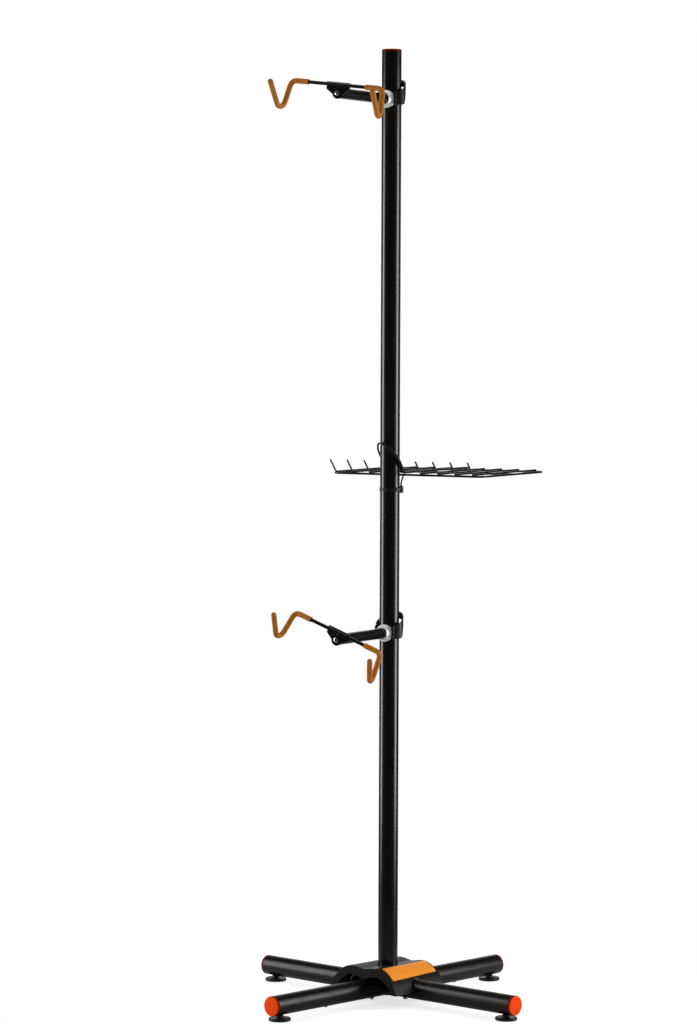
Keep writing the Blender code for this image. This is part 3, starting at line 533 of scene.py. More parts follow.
def plug_rings(low, seat, top):
    """A tube plug: a plain insert, a small step, and a head whose rim is a quarter round."""
    lead = 0.0012
    rim = 0.0026
    crown = 0.0007
    rings = [(INSERT_RADIUS - lead, low), (INSERT_RADIUS, low + lead)]
    rings += [(INSERT_RADIUS, seat), (TUBE_RADIUS, seat)]
    for angle in range(0, 91, 15):
        a = math.radians(angle)
        rings.append((TUBE_RADIUS - rim + rim * math.cos(a), top - crown - rim + rim * math.sin(a)))
    rings += [(TUBE_RADIUS * 0.6, top - crown * 0.3), (TUBE_RADIUS * 0.2, top)]
    return rings


def paint_rim_shade(plug, axis):
    """Paint shade on the rim of a plug as a deep red: the faces that look out from the tube, not along
    it.
    """
    plug.data.materials.append(PAINTED_RIM_SHADE)
    rim = [face for face in plug.data.polygons if abs(face.normal.dot(axis)) < LOOKS_ALONG]
    for face in rim:
        face.material_index = 1
    print(f"{plug.name}: {len(rim)} faces of the rim")


cap_low, cap_high = (corner.z for corner in map(Vector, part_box("post_cap")))
rings = plug_rings(cap_low, cap_high - POST_CAP_HEAD, cap_high)
top_plug = turned_piece("post_top_plug", rings, 96)
settle(top_plug, ORANGE_PLASTIC, "stand", "orange_plastic", "post_cap")
# The deep red on the plug's rim is painted shade.
paint_rim_shade(top_plug, Vector((0, 0, 1)))

# %% [markdown]
# A hole is a boolean: the cutter is a piece of its own, which is used up, and the doubles and slivers
# that it leaves are merged away. A copy gets its own mesh, so that it can go out as a piece by itself.

# %% Cutting and copying
def combine(obj, other, operation):
    """Cut, join or cross one piece with another, which is used up."""
    apply_modifier(obj, "BOOLEAN", object=other, operation=operation, solver="EXACT")
    bpy.data.objects.remove(other)
    begin_edit(obj)
    bpy.ops.mesh.remove_doubles(threshold=2 * MERGE)
    bpy.ops.mesh.dissolve_degenerate(threshold=MERGE)
    bpy.ops.object.mode_set(mode="OBJECT")
    return obj


def cut_away(obj, cutter):
    return combine(obj, cutter, "DIFFERENCE")


def copy_of(obj, name, matrix):
    """A copy with its own mesh, in its own place."""
    twin = obj.copy()
    twin.data = obj.data.copy()
    twin.name = twin.data.name = name
    bpy.context.scene.collection.objects.link(twin)
    return moved(twin, matrix)

# %% [markdown]
# The four legs are the same tube, lying with its middle 34.5 mm above the floor. One is turned standing
# up, laid down along X and drilled from below for its bolt and its foot. Each leg is then a copy of it,
# turned to its own heading. What is in and under the legs is made and copied the same way.

# %% Legs
LEGS = {"rear_right": 45, "rear_left": 135, "front_left": 225, "front_right": 315}
LEG_HEIGHT = 0.0345
LEG_START = 0.0235
LEG_REACH = 0.381
CAP_HEAD = 0.0065
CAP_INSERT = 0.012
BOLT_AT = 0.054
FOOT_AT = 0.3525
STUD_HOLE = 0.0041
BOLT_HOLE = 0.0033

laid_down = shifted(0, 0, LEG_HEIGHT) @ turned_by(90, "Y")


def for_each_leg(master, name, finish, slot, node, sides=tuple(LEGS)):
    """Copy a piece that was made along X to each leg, and remove the master."""
    for side in sides:
        copy = copy_of(master, f"{side}_{name}", turned_by(LEGS[side], "Z"))
        body = f"{side}_{node.split('_')[1]}" if node.startswith("foot") else "stand"
        settle(copy, finish, body, slot, f"{side}_{node}")
    bpy.data.objects.remove(master)


def drill(obj, at, radius):
    """A hole from below, up to the middle of the tube."""
    bit = turned_piece("drill_bit", [(radius, -0.01), (radius, LEG_HEIGHT)], 32)
    cut_away(obj, moved(bit, shifted(at, 0, 0)))


tube_end = LEG_REACH - CAP_HEAD - GAP
leg = soften(tube_piece("leg", TUBE_RADIUS, TUBE_BORE, LEG_START, tube_end), RIM_SOFT)
moved(leg, laid_down)
drill(leg, FOOT_AT, STUD_HOLE)
drill(leg, BOLT_AT, BOLT_HOLE)
for_each_leg(leg, "leg_tube", SATIN_PAINT, "black_paint", "leg")
rings = plug_rings(tube_end - CAP_INSERT, tube_end + GAP, LEG_REACH)
plug = moved(turned_piece("plug", rings, 96), laid_down)
for_each_leg(plug, "leg_plug", ORANGE_PLASTIC, "orange_plastic", "leg_cap")
# The rims of the leg plugs get the same deep red of painted shade.
for side, heading in LEGS.items():
    along = Matrix.Rotation(math.radians(heading), 3, "Z") @ Vector((1, 0, 0))
    paint_rim_shade(bpy.data.objects[f"{side}_leg_plug"], along)

# %% [markdown]
# Under the legs sit the fasteners: a hexagon-head bolt by the hub, and on two legs a small screw.
# A hexagon head is a six-sided ring with a chamfered rim; its shank is a second turned shape,
# joined to it. The small screw has a domed head.

# %% Fasteners under the legs
UNDERSIDE = LEG_HEIGHT - TUBE_RADIUS - GAP
PLUG_SCREWS = {"front_left": 0.205, "rear_right": 0.229}
SCREW_SHANK = [(0.0016, 0.0062), (0.0016, 0)]
SCREW_HEAD = [(0.0040, 0), (0.0040, -0.0006), (0.0034, -0.0014), (0.0022, -0.0019), (0.0010, -0.0020)]


def joined(obj, *others):
    """Make several meshes one piece."""
    alone(obj)
    for other in others:
        other.select_set(True)
    bpy.ops.object.join()
    return obj


def thread_rings(low, high, radius, pitch, depth):
    """Ridges of a fine thread, from low to high, with a chamfer at both ends."""
    rings = [(radius - depth * 1.2, low), (radius - depth, low + depth)]
    for i in range(int((high - low - 2 * depth) / pitch)):
        base = low + depth + pitch * i
        rings += [(radius, base + pitch * 0.35), (radius, base + pitch * 0.50)]
        rings.append((radius - depth, base + pitch * 0.95))
    rings.append((radius - depth * 1.2, high))
    return rings


def hex_bolt(name, across, height, shank, reach):
    """A bolt that points up, with its seat at Z = 0. The head has a washer face."""
    corner = across / math.cos(math.radians(30))
    rings = [(across * 0.80, -height), (corner, -height * 0.80), (corner, -0.0005)]
    head = turned_piece(name, rings, 6)
    collar = turned_piece("collar", [(across * 0.98, -0.0006), (across * 0.98, 0)], 48)
    stem = turned_piece("stem", thread_rings(-0.0006, reach, shank, 0.001, 0.0003), 24)
    return joined(soften(head, 0.0003, 2, 20), collar, stem)


bolt = hex_bolt("bolt", across=0.0050, height=0.004, shank=0.0029, reach=0.0093)
moved(bolt, shifted(BOLT_AT, 0, UNDERSIDE))
for_each_leg(bolt, "hex_bolt", ZINC, "zinc_steel", "leg_bolt")
for side, at in PLUG_SCREWS.items():
    screw = moved(turned_piece("screw", SCREW_SHANK + SCREW_HEAD, 40), shifted(at, 0, UNDERSIDE))
    for_each_leg(screw, "pan_screw", BLACK_PAINT, "black_paint", "leg_screw", (side,))

# %% [markdown]
# The feet are moulded pads on threaded studs. The pad is a low disc with a boss, and a ring moulded
# into its top. The stud's thread is a pile of fine ridges, 1.25 mm apart, as the real one has.

# %% Feet
THREAD_PITCH = 0.00125
THREAD_DEPTH = 0.0006
STUD_RADIUS = 0.0038
STUD_LOW = 0.0033
STUD_HIGH = 0.0340
PAD_RADIUS = 0.0245
PAD_ROUND = 0.0022
PAD_CHAMFER = 0.0012
PAD_SHOULDER = 0.0048
PAD_TOP = [(0.0190, 0.0070), (0.0185, 0.0066), (0.0125, 0.0066), (0.0112, 0.0070), (0.0092, 0.0076)]
PAD_BOSS = [(0.0085, 0.0090), (0.0085, 0.0114), (0.0079, 0.0120), (0.0041, 0.0120), (0.0041, 0.0030)]

pad_rings = [(PAD_RADIUS - PAD_CHAMFER, 0), (PAD_RADIUS, PAD_CHAMFER)]
for angle in range(0, 91, 18):
    a = math.radians(angle)
    wide = PAD_RADIUS - PAD_ROUND + PAD_ROUND * math.cos(a)
    pad_rings.append((wide, PAD_SHOULDER + PAD_ROUND * math.sin(a)))
at_foot = shifted(FOOT_AT, 0, 0)
pad = moved(turned_piece("pad", pad_rings + PAD_TOP + PAD_BOSS, 72), at_foot)
for_each_leg(pad, "glide_pad", BLACK_PLASTIC, "black_plastic", "foot_pad")
rings = thread_rings(STUD_LOW, STUD_HIGH, STUD_RADIUS, THREAD_PITCH, THREAD_DEPTH)
stud = moved(turned_piece("stud", rings, 32), at_foot)
for_each_leg(stud, "threaded_stud", ZINC, "zinc_steel", "foot_stud")

# %% [markdown]
# The cover is a moulding that sits like a saddle over the crossed legs. Seen along one pair of legs its
# top is a wave: a low crown where the post comes out, a hump on each side, and a slope down to the hem.
# Half of the wave is drawn through five points, and the other half mirrors it.
# The same kind of line, drawn lower, is the opening that leaves a ribbon at each end.

# %% The cover's lines
COVER_FRAME = turned_by(-45, "Z")
COVER_LENGTH = 0.164
COVER_WALL = 0.003
COVER_HEM = 0.0295
COVER_BELOW = 0.010
COVER_LINE = ((0, 0.080), (0.035, 0.0845), (0.062, 0.077), (0.0865, 0.056), (0.100, COVER_HEM))
RIBBON_LINE = ((0, 0.0573), (0.038, 0.065), (0.066, 0.054), (0.082, 0.035), (0.085, COVER_HEM))
stand_up = COVER_FRAME @ turned_by(90, "X")


def smooth_line(keys, steps):
    """A smooth line through the keys, which it leaves straight at both ends."""
    keys = [Vector(key) for key in keys]
    keys = [2 * keys[0] - keys[1]] + keys + [2 * keys[-1] - keys[-2]]
    line = [keys[1]]
    for a, b, c, d in zip(keys, keys[1:], keys[2:], keys[3:]):
        for i in range(1, steps + 1):
            t = i / steps
            linear = (c - a) * (t / 2)
            square = (2 * a - 5 * b + 4 * c - d) * (t * t / 2)
            cube = (3 * b - a - 3 * c + d) * (t * t * t / 2)
            line.append(b + linear + square + cube)
    return line


def both_sides(half):
    """A symmetric line from its half, which starts on the middle line X = 0."""
    return [Vector((-point.x, point.y)) for point in reversed(half[1:])] + list(half)


def inset_line(line, distance):
    """The line moved to its right-hand side."""
    result = []
    for i, point in enumerate(line):
        along = (line[min(i + 1, len(line) - 1)] - line[max(i - 1, 0)]).normalized()
        result.append(point + Vector((along.y, -along.x)) * distance)
    return result


def circle_points(radius, start, end, steps, centre=(0, 0)):
    angles = [math.radians(start + (end - start) * i / steps) for i in range(steps + 1)]
    return [(centre[0] + radius * math.cos(a), centre[1] + radius * math.sin(a)) for a in angles]


def down_to(line, height):
    """The line with both of its ends brought straight down."""
    return [(line[0][0], height), *[tuple(point) for point in line], (line[-1][0], height)]


wave = both_sides(smooth_line(COVER_LINE, 10))
ribbon = both_sides(smooth_line(RIBBON_LINE, 8))
print("the wave has", len(wave), "points")

# %% [markdown]
# A plate starts as one point that is drawn from corner to corner, as with a pen. The outline is
# filled, its corners are rounded if it has hard ones, and then it is made thick.

# %% Plates
def flat_outline(name, points, corner=0, steps=4):
    """A flat face in X and Y. Its corners are drawn one by one, as with a pen, and rounded."""
    bpy.ops.object.select_all(action="DESELECT")
    bpy.ops.mesh.primitive_plane_add(size=0.001)
    obj = bpy.context.object
    obj.name = name
    obj.data.name = name
    begin_edit(obj)
    bpy.ops.mesh.merge(type="CENTER")
    points = [Vector((*point, 0)) for point in points]
    bpy.ops.transform.translate(value=points[0])
    for here, after in zip(points, points[1:]):
        bpy.ops.mesh.extrude_vertices_move(TRANSFORM_OT_translate={"value": tuple(after - here)})
    bpy.ops.mesh.select_all(action="SELECT")
    bpy.ops.mesh.edge_face_add()
    if corner:
        bpy.ops.mesh.bevel(offset=corner, segments=steps, affect="VERTICES")
    bpy.ops.mesh.select_all(action="SELECT")
    return obj


def thick_outline(name, points, depth, corner=0, steps=4):
    """A flat outline made a plate, with half of its depth on each side of the plane."""
    obj = flat_outline(name, points, corner, steps)
    bpy.ops.transform.translate(value=(0, 0, -depth / 2))
    push((0, 0, depth))
    end_edit()
    return obj

# %% [markdown]
# The wave is drawn flat, made 164 mm thick and stood up. Its rims are rounded first. Then it is
# hollowed to a 3 mm wall, and the ribbon openings, the two leg slots and the hole for the post are
# cut. A collar is left standing inside round the post.

# %% Base cover
COLLAR_RADIUS = 0.026
COLLAR_BOTTOM = 0.066
COLLAR_TRIM = COLLAR_RADIUS + COVER_WALL
POST_HOLE = TUBE_RADIUS + 0.0004
LEG_SLOT_RADIUS = 0.0245
LEG_SLOT_HEIGHT = 0.0348
LEG_SLOT_LENGTH = 0.24
COVER_TOP = 0.165


def column(name, radius, low, high, sides=128):
    return turned_piece(name, [(radius, low), (radius, high)], sides)


cover = thick_outline("base_cover_shell", wave, COVER_LENGTH)
soften(moved(cover, stand_up), 0.0014, 3, 60)
inner = down_to(inset_line(wave, COVER_WALL), COVER_BELOW)
hollow = moved(thick_outline("hollow", inner, COVER_LENGTH - 2 * COVER_WALL), stand_up)
cut_away(hollow, column("collar", COLLAR_RADIUS, 0, COVER_TOP))
cut_away(cover, hollow)
cut_away(cover, column("collar_trim", COLLAR_TRIM, 0, COLLAR_BOTTOM))
opening = thick_outline("opening", down_to(ribbon, COVER_BELOW), COVER_LENGTH + 0.02)
cut_away(cover, moved(opening, stand_up))
arch = circle_points(LEG_SLOT_RADIUS, 180, 0, 36, (0, LEG_SLOT_HEIGHT))
slot = thick_outline("leg_slot", down_to(arch, COVER_BELOW), LEG_SLOT_LENGTH)
cut_away(cover, moved(slot, stand_up @ turned_by(90, "Y")))
cut_away(cover, column("post_hole", POST_HOLE, 0, COVER_TOP))
settle(cover, COVER_PLASTIC, "stand", "cover_plastic", "base_cover")

# %% [markdown]
# On the slope towards the front right lies a plastic film, orange with a dark border. It carries
# nothing here. Each film is a thin strip that follows the wave, cut to a rounded outline.

# %% Films on the cover's slope
FILM_CORNERS = ((0.0440, -0.0690), (0.0825, -0.0725), (0.0788, 0.0765), (0.0403, 0.0772))
FILM_ROUND = 0.0035
BORDER = 0.0014
OUTWARD = ((-1, -1), (1, -1), (1, 1), (-1, 1))


def keep_common(obj, other):
    return combine(obj, other, "INTERSECT")


def film(name, grow, under, over):
    """A film that is larger by grow on every side and lies between two heights over the wave."""
    run = [point for point in wave if 0.03 < point.x < 0.092]
    outline = inset_line(run, -over) + inset_line(run, -under)[::-1]
    strip = moved(thick_outline(name, outline, COVER_LENGTH), stand_up)
    corners = [(x + i * grow, y + j * grow) for (x, y), (i, j) in zip(FILM_CORNERS, OUTWARD)]
    shape = moved(thick_outline("film_shape", corners, 0.3, FILM_ROUND + grow, 8), COVER_FRAME)
    return keep_common(strip, shape)


border = film("label_border", grow=BORDER, under=0.00005, over=0.00025)
settle(border, LABEL_EDGE, "stand", "black_plastic")
settle(film("label_film", grow=0, under=0.00025, over=0.00045), LABEL_ORANGE, "stand", "orange_plastic")

# %% [markdown]
# Inside the cover, and out of sight, four short spigots and an upright one are welded to a drum. The
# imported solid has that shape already, and so has the joiner inside the post's seam. They keep their
# meshes and get the finish of the pieces round them.

# %% Hidden pieces
for node, hidden_finish in (("base_hub", BLACK_PAINT), ("post_joiner", ZINC)):
    for slot in bpy.data.objects[node].material_slots:
        slot.material = hidden_finish
    print(node, "keeps its mesh")

# %% [markdown]
# The two arms are alike, so each piece is made once, with X along the arm and Z up, and then copied to
# the lower and the upper arm. A cradle is also tilted about its arm, each by its own angle.
# The bush is a plain plastic sleeve between the post and the parts that turn round it.

# %% Arm places and bush
ARMS = {"lower": (238.8, 0.835, 20.8), "upper": (238.2, 2.032, 6.5)}
BUSH_RADIUS = 0.0235
BUSH_BORE = 0.02255
BUSH_HALF = 0.0135
along_x = turned_by(90, "Y")


def for_both_arms(master, name, finish, slot, part_of, node):
    """Copy a piece to both arms. It moves with the arm's slider, arm or cradle."""
    for arm, (heading, height, tilt) in ARMS.items():
        place = shifted(0, 0, height)
        if part_of != "slider":
            place = place @ turned_by(heading, "Z")
        if part_of == "cradle":
            place = place @ turned_by(-tilt, "X")
        copy = copy_of(master, f"{arm}_{name}", place)
        settle(copy, finish, f"{arm}_{part_of}", slot, f"{arm}_{node}")
    bpy.data.objects.remove(master)


bush = soften(tube_piece("bush", BUSH_RADIUS, BUSH_BORE, -BUSH_HALF, BUSH_HALF), 0.0003, 2)
for_both_arms(bush, "bush_sleeve", BLACK_PLASTIC, "black_plastic", "slider", "grip_bush")

# %% [markdown]
# The saddle is a bright cast cup. It is turned, wide at the post and narrowing to the arm in a hollow
# curve, and its wide end is cut to the curve of the post. Room for two pins is cut into its flanks.

# %% Saddle
SADDLE_RADIUS = 0.0195
SADDLE_MOUTH_RADIUS = 0.0139
SADDLE_MOUTH = 0.0365
SADDLE_FLARE = 0.026
SADDLE_BACK = 0.010
SADDLE_SEAT = 0.0123
SADDLE_BORE = 0.0238
PIN_AT = 0.0226
PIN_RADIUS = 0.0022
PIN_INNER = 0.0149
facing_side = {
    side: shifted(PIN_AT, 0, 0) @ turned_by(angle, "X")
    for side, angle in (("left", 90), ("right", -90))
}


def cut_pin_holes(obj):
    """Room for the two pins, cut in from the flanks."""
    for place in facing_side.values():
        space = column("pin_space", PIN_RADIUS + GAP, PIN_INNER - GAP, 0.04, 32)
        cut_away(obj, moved(space, place))


rings = [(SADDLE_SEAT, SADDLE_BACK), (SADDLE_RADIUS, SADDLE_BACK)]
for i in range(11):
    t = 1 - i / 10
    radius = SADDLE_MOUTH_RADIUS + (SADDLE_RADIUS - SADDLE_MOUTH_RADIUS) * t * t
    rings.append((radius, SADDLE_MOUTH + (SADDLE_FLARE - SADDLE_MOUTH) * t))
rings.append((SADDLE_SEAT, SADDLE_MOUTH))
saddle = moved(turned_piece("saddle", rings, 96, hollow=True), along_x)
cut_away(saddle, column("post_space", SADDLE_BORE, -0.03, 0.03))
cut_pin_holes(saddle)
soften(saddle, 0.0005, 2)
for_both_arms(saddle, "saddle_cup", BRIGHT_METAL, "bright_metal", "arm", "saddle")

# %% [markdown]
# The yoke is held by two short pins, one from each flank. A single pin would have to pass through the
# post, along which the arm slides. Each pin is turned with a low domed head, and a six-sided socket
# is cut into the head.

# %% Flank pins
PIN_OUTER = 0.0232
PIN_HEAD = 0.0042
PIN_HEAD_HEIGHT = 0.0022
PIN_SOCKET = 0.0014


def button_head(shank, inner, seat, radius, height, socket):
    """A bolt with a low domed head and a six-sided socket in it, pointing up."""
    rings = [(shank * 0.9, inner), (shank, inner + shank * 0.1), (shank, seat), (radius, seat)]
    for angle in (0, 15, 30, 45, 60, 72):
        a = math.radians(angle)
        rings.append((radius * math.cos(a), seat + height * (0.15 + 0.85 * math.sin(a))))
    bolt = turned_piece("bolt", rings, 48)
    key = turned_piece("key", [(socket, seat + height * 0.3), (socket, seat + height * 2)], 6)
    return soften(cut_away(bolt, key), 0.00015, 2)


pin = button_head(PIN_RADIUS, PIN_INNER, PIN_OUTER, PIN_HEAD, PIN_HEAD_HEIGHT, PIN_SOCKET)
for side, place in facing_side.items():
    copy = copy_of(pin, "pin_" + side, place)
    for_both_arms(copy, "flank_pin_" + side, SATIN_PAINT, "black_paint", "arm", "yoke_pin_" + side)
bpy.data.objects.remove(pin)

# %% [markdown]
# The yoke is a steel strip, bent round the back of the post from one flank of the saddle to the other.
# From the side it is a low cheek that climbs to a high bridge behind the post. Its plan is drawn as a
# band of constant thickness and made tall, and a plate with the side view's outline is crossed with it.

# %% Yoke
YOKE_WALL = 0.003
YOKE_TURN = 0.029
YOKE_FRONT = 0.0265
YOKE_FLANK = SADDLE_RADIUS + 0.0004
YOKE_CORNER = 0.0035
BAND_HEIGHT = 0.1
BAND_MIDDLE = 0.018
YOKE_PLAN = ((YOKE_FRONT, YOKE_FLANK), (0.0165, YOKE_FLANK), (0.0065, YOKE_TURN - 0.001))
YOKE_SIDE = (
    (YOKE_FRONT + 0.001, -0.014),
    (YOKE_FRONT + 0.001, 0.015),
    (0.000, 0.024),
    (-0.016, 0.036),
    (-0.036, 0.0495),
    (-0.036, 0.034),
    (-0.018, 0.026),
    (-0.002, -0.0115),
)
half = [Vector(point) for point in (*YOKE_PLAN, *circle_points(YOKE_TURN, 90, 180, 30))]
band = half + [Vector((point.x, -point.y)) for point in reversed(half[:-1])]
outline = band + inset_line(band, YOKE_WALL)[::-1]
yoke = moved(thick_outline("yoke", outline, BAND_HEIGHT), shifted(0, 0, BAND_MIDDLE))
side_view = thick_outline("side_view", YOKE_SIDE, 0.1, YOKE_CORNER, 6)
keep_common(yoke, moved(side_view, turned_by(90, "X")))
cut_pin_holes(yoke)
soften(yoke, 0.0006, 2)
for_both_arms(yoke, "yoke_strap", SATIN_PAINT, "black_paint", "arm", "yoke")

# %% [markdown]
# The arm itself is a tube of 24 mm, with a plug welded into its end. The plug takes the pivot bolt, and
# a plastic washer lies between it and the cradle.

# %% Arm tube, end plug, washer and pivot bolt
ARM_RADIUS = 0.012
ARM_BORE = 0.010
ARM_START = 0.0255
ARM_END = 0.2330
PLUG_BACK = ARM_END + GAP
PLUG_FACE = PLUG_BACK + 0.0035
PLUG_INSERT = 0.018
WASHER_RADIUS = 0.0105
WASHER_WALL = 0.0029
PIVOT_HOLE = 0.0033
PIVOT_IN_PLUG = 0.014
BRACKET_BACK = PLUG_FACE + 2 * GAP + WASHER_WALL
BRACKET_WALL = 0.004
BRACKET_FACE = BRACKET_BACK + BRACKET_WALL

arm_tube = soften(tube_piece("arm_tube", ARM_RADIUS, ARM_BORE, ARM_START, ARM_END, 72), 0.0004, 2)
for_both_arms(moved(arm_tube, along_x), "arm_bar", BLACK_PAINT, "black_paint", "arm", "arm_tube")
rings = [(PIVOT_HOLE, PLUG_FACE), (ARM_RADIUS, PLUG_FACE), (ARM_RADIUS, PLUG_BACK)]
rings += [(ARM_BORE - GAP, PLUG_BACK), (ARM_BORE - GAP, PLUG_BACK - PLUG_INSERT)]
rings.append((PIVOT_HOLE, PLUG_BACK - PLUG_INSERT))
end_plug = moved(soften(turned_piece("end_plug", rings, 72, hollow=True), 0.0004, 2), along_x)
for_both_arms(end_plug, "arm_plug", BLACK_PAINT, "black_paint", "arm", "arm_end_plug")
low = PLUG_FACE + GAP
washer = tube_piece("washer", WASHER_RADIUS, PIVOT_HOLE, low, low + WASHER_WALL, 64)
moved(soften(washer, 0.0004, 2), along_x)
for_both_arms(washer, "pivot_washer", BLACK_PLASTIC, "black_plastic", "arm", "tilt_washer")
inner = PLUG_BACK - PIVOT_IN_PLUG
pivot = button_head(0.003, inner, BRACKET_FACE + GAP, radius=0.0065, height=0.0042, socket=0.0022)
moved(pivot, along_x)
for_both_arms(pivot, "pivot_screw", ZINC, "zinc_steel", "arm", "pivot_bolt")

# %% [markdown]
# Hooks and wires are bent round bar. A ring is swept along the corners of the bar: it is pushed along
# the straights and spun round the bends, just as a bender works. A rubber sleeve ends in a round tip,
# for which the last ring is pushed on in steps while it gets smaller.

# %% Bent bars
def sweep(corners, bend, steps):
    """Carry the selected section along the corners: straight runs are extruded, corners are spun."""
    here = corners[0]
    for before, corner, after in zip(corners, corners[1:], corners[2:]):
        back = (before - corner).normalized()
        ahead = (after - corner).normalized()
        half = back.angle(ahead) / 2
        reach = bend / math.tan(half)
        centre = corner + (back + ahead).normalized() * bend / math.sin(half)
        push(corner + back * reach - here)
        axis = ahead.cross(-back)
        bpy.ops.mesh.spin(steps=steps, angle=math.pi - 2 * half, center=centre, axis=axis)
        here = corner + ahead * reach
    push(corners[-1] - here)


def dome(end, ahead, radius):
    """Close a rod's end with a round tip, from the ring that is selected."""
    done = 0
    wide = 1
    for angle in (20, 40, 58, 74, 84):
        far = radius * math.sin(math.radians(angle))
        narrow = math.cos(math.radians(angle))
        push(ahead * (far - done))
        swell(narrow / wide, end + ahead * far)
        done, wide = far, narrow
    bpy.ops.mesh.edge_face_add()


def bent_rod(name, corners, radius, bend, sides=20, steps=8, domed=False):
    """A round bar along the corners. A domed end finishes at the last corner."""
    corners = [Vector(corner) for corner in corners]
    ahead = (corners[-1] - corners[-2]).normalized()
    if domed:
        corners[-1] = corners[-1] - ahead * radius
    obj = new_ring(name, radius, corners[0], corners[1] - corners[0], sides)
    begin_edit(obj)
    sweep(corners, bend, steps)
    if domed:
        dome(corners[-1], ahead, radius)
    bpy.ops.mesh.select_all(action="SELECT")
    bpy.ops.mesh.fill_holes(sides=0)
    end_edit()
    return obj

# %% [markdown]
# The cradle is a plate with a round lobe for the pivot, and a rod across its front that is bent into a
# hook at each end. A rubber sleeve is pushed over each hook: it is swept along the same corners, and
# the rod's space is cut out of it. The right half of the rod is drawn, and the left half mirrors it.

# %% Cradle
ROD_RADIUS = 0.004
BAR_HEIGHT = 0.0178
BAR_HALF = 0.115
HOOK_BEND = 0.014
SLEEVE_RADIUS = 0.006
SLEEVE_START = 0.072
SLEEVE_TIP_WALL = 0.003
ROD_SHORT_OF_TIP = 0.0035
BRACKET_HALF = 0.029
BRACKET_TOP = 0.0235
BRACKET_WING = 0.007
LOBE_RADIUS = 0.013
BAR_AT = BRACKET_FACE + GAP + ROD_RADIUS

lobe = circle_points(LOBE_RADIUS, 195, 345, 36)
outline = [(-BRACKET_HALF, BRACKET_TOP), (-BRACKET_HALF, BRACKET_WING), *lobe]
outline += [(BRACKET_HALF, BRACKET_WING), (BRACKET_HALF, BRACKET_TOP)]
plate = thick_outline("plate", outline, BRACKET_WALL)
to_end = shifted((BRACKET_BACK + BRACKET_FACE) / 2, 0, 0)
facing_x = turned_by(90, "Z") @ turned_by(90, "X")
moved(plate, to_end @ facing_x)
cut_away(plate, moved(column("pivot_space", PIVOT_HOLE, 0.2, 0.3, 48), along_x))
soften(plate, 0.0007, 3, 30)
for_both_arms(plate, "cradle_plate", BLACK_PAINT, "black_paint", "cradle", "cradle_bracket")

right = [
    Vector((BAR_AT, SLEEVE_START, BAR_HEIGHT)),
    Vector((BAR_AT, BAR_HALF, BAR_HEIGHT)),
    Vector((BAR_AT + 0.0176, BAR_HALF + 0.0100, BAR_HEIGHT - 0.078)),
    Vector((BAR_AT + 0.072, BAR_HALF + 0.0139, BAR_HEIGHT - 0.0029)),
]
left = [Vector((corner.x, -corner.y, corner.z)) for corner in right]
back = (right[2] - right[3]).normalized()
tip = right[3] + back * ROD_SHORT_OF_TIP
far_tip = Vector((tip.x, -tip.y, tip.z))
rod = bent_rod("rod", [far_tip, left[2], left[1], right[1], right[2], tip], ROD_RADIUS, HOOK_BEND, 24, 10)
for_both_arms(rod, "hook_rod", BLACK_PAINT, "black_paint", "cradle", "cradle_rod")
for side, corners in (("right", right), ("left", left)):
    sleeve = bent_rod("sleeve", corners, SLEEVE_RADIUS, HOOK_BEND, 36, 12, domed=True)
    inward = (corners[0] - corners[1]).normalized() * 0.01
    end = corners[3] + (corners[2] - corners[3]).normalized() * SLEEVE_TIP_WALL
    path = [corners[0] + inward, *corners[1:3], end]
    space = bent_rod("space", path, ROD_RADIUS + 2 * GAP, HOOK_BEND, 24, 12)
    soften(cut_away(sleeve, space), 0.0004, 2, 50)
    piece, node = f"rubber_sleeve_{side}", f"hook_sleeve_{side}"
    for_both_arms(sleeve, piece, AMBER_RUBBER, "amber_rubber", "cradle", node)

# %% [markdown]
# The tray is a grid of wire. A rim goes all the way round, one wire runs along the middle, and eight
# cross wires lie on both. Each cross wire turns up at the near edge as a prong. The wires are swept
# like the hooks and joined, as spot welds join the real ones.

# %% Tray grid
TRAY_HEADING = 54
TRAY_HEIGHT = 1.190
TRAY_RISE = 0.004
TRAY_NEAR = 0.035
TRAY_FAR = 0.305
TRAY_LEFT = 0.180
TRAY_RIGHT = 0.222
TRAY_CORNER = 0.018
RIM_RADIUS = 0.0025
CROSS_RADIUS = 0.002
CROSS_LIFT = 0.0035
CROSS_FIRST = 0.170
CROSS_PITCH = 0.046
CROSS_COUNT = 9
HANGER_CROSS = 4
PRONG = Vector((-0.023, 0, 0.0275))
PRONG_BEND = 0.006
tray_frame = turned_by(TRAY_HEADING, "Z")


def tray_level(ahead):
    return TRAY_HEIGHT + TRAY_RISE * (ahead - TRAY_NEAR) / (TRAY_FAR - TRAY_NEAR)


def on_tray(ahead, side, lift=0):
    return Vector((ahead, side, tray_level(ahead) + lift))


middle = (TRAY_NEAR + TRAY_FAR) / 2
corners = [on_tray(TRAY_FAR, 0), on_tray(TRAY_FAR, -TRAY_RIGHT), on_tray(TRAY_NEAR, -TRAY_RIGHT)]
corners += [on_tray(TRAY_NEAR, TRAY_LEFT), on_tray(TRAY_FAR, TRAY_LEFT), on_tray(TRAY_FAR, 0)]
grid = new_ring("tray_grid", RIM_RADIUS, corners[0], corners[1] - corners[0], 20)
begin_edit(grid)
sweep(corners, TRAY_CORNER, 10)
end_edit(merge=0.00002)
ends = [on_tray(middle, -TRAY_RIGHT), on_tray(middle, TRAY_LEFT)]
wires = [bent_rod("middle_wire", ends, RIM_RADIUS, 0, 20)]
for i in range(CROSS_COUNT):
    if i == HANGER_CROSS:
        continue
    side = CROSS_FIRST - CROSS_PITCH * i
    far = on_tray(TRAY_FAR + RIM_RADIUS, side, CROSS_LIFT)
    near = on_tray(TRAY_NEAR, side, CROSS_LIFT)
    wires.append(bent_rod("cross_wire", [far, near, near + PRONG], CROSS_RADIUS, PRONG_BEND, 16, 8))
print("wires:", len(wires))

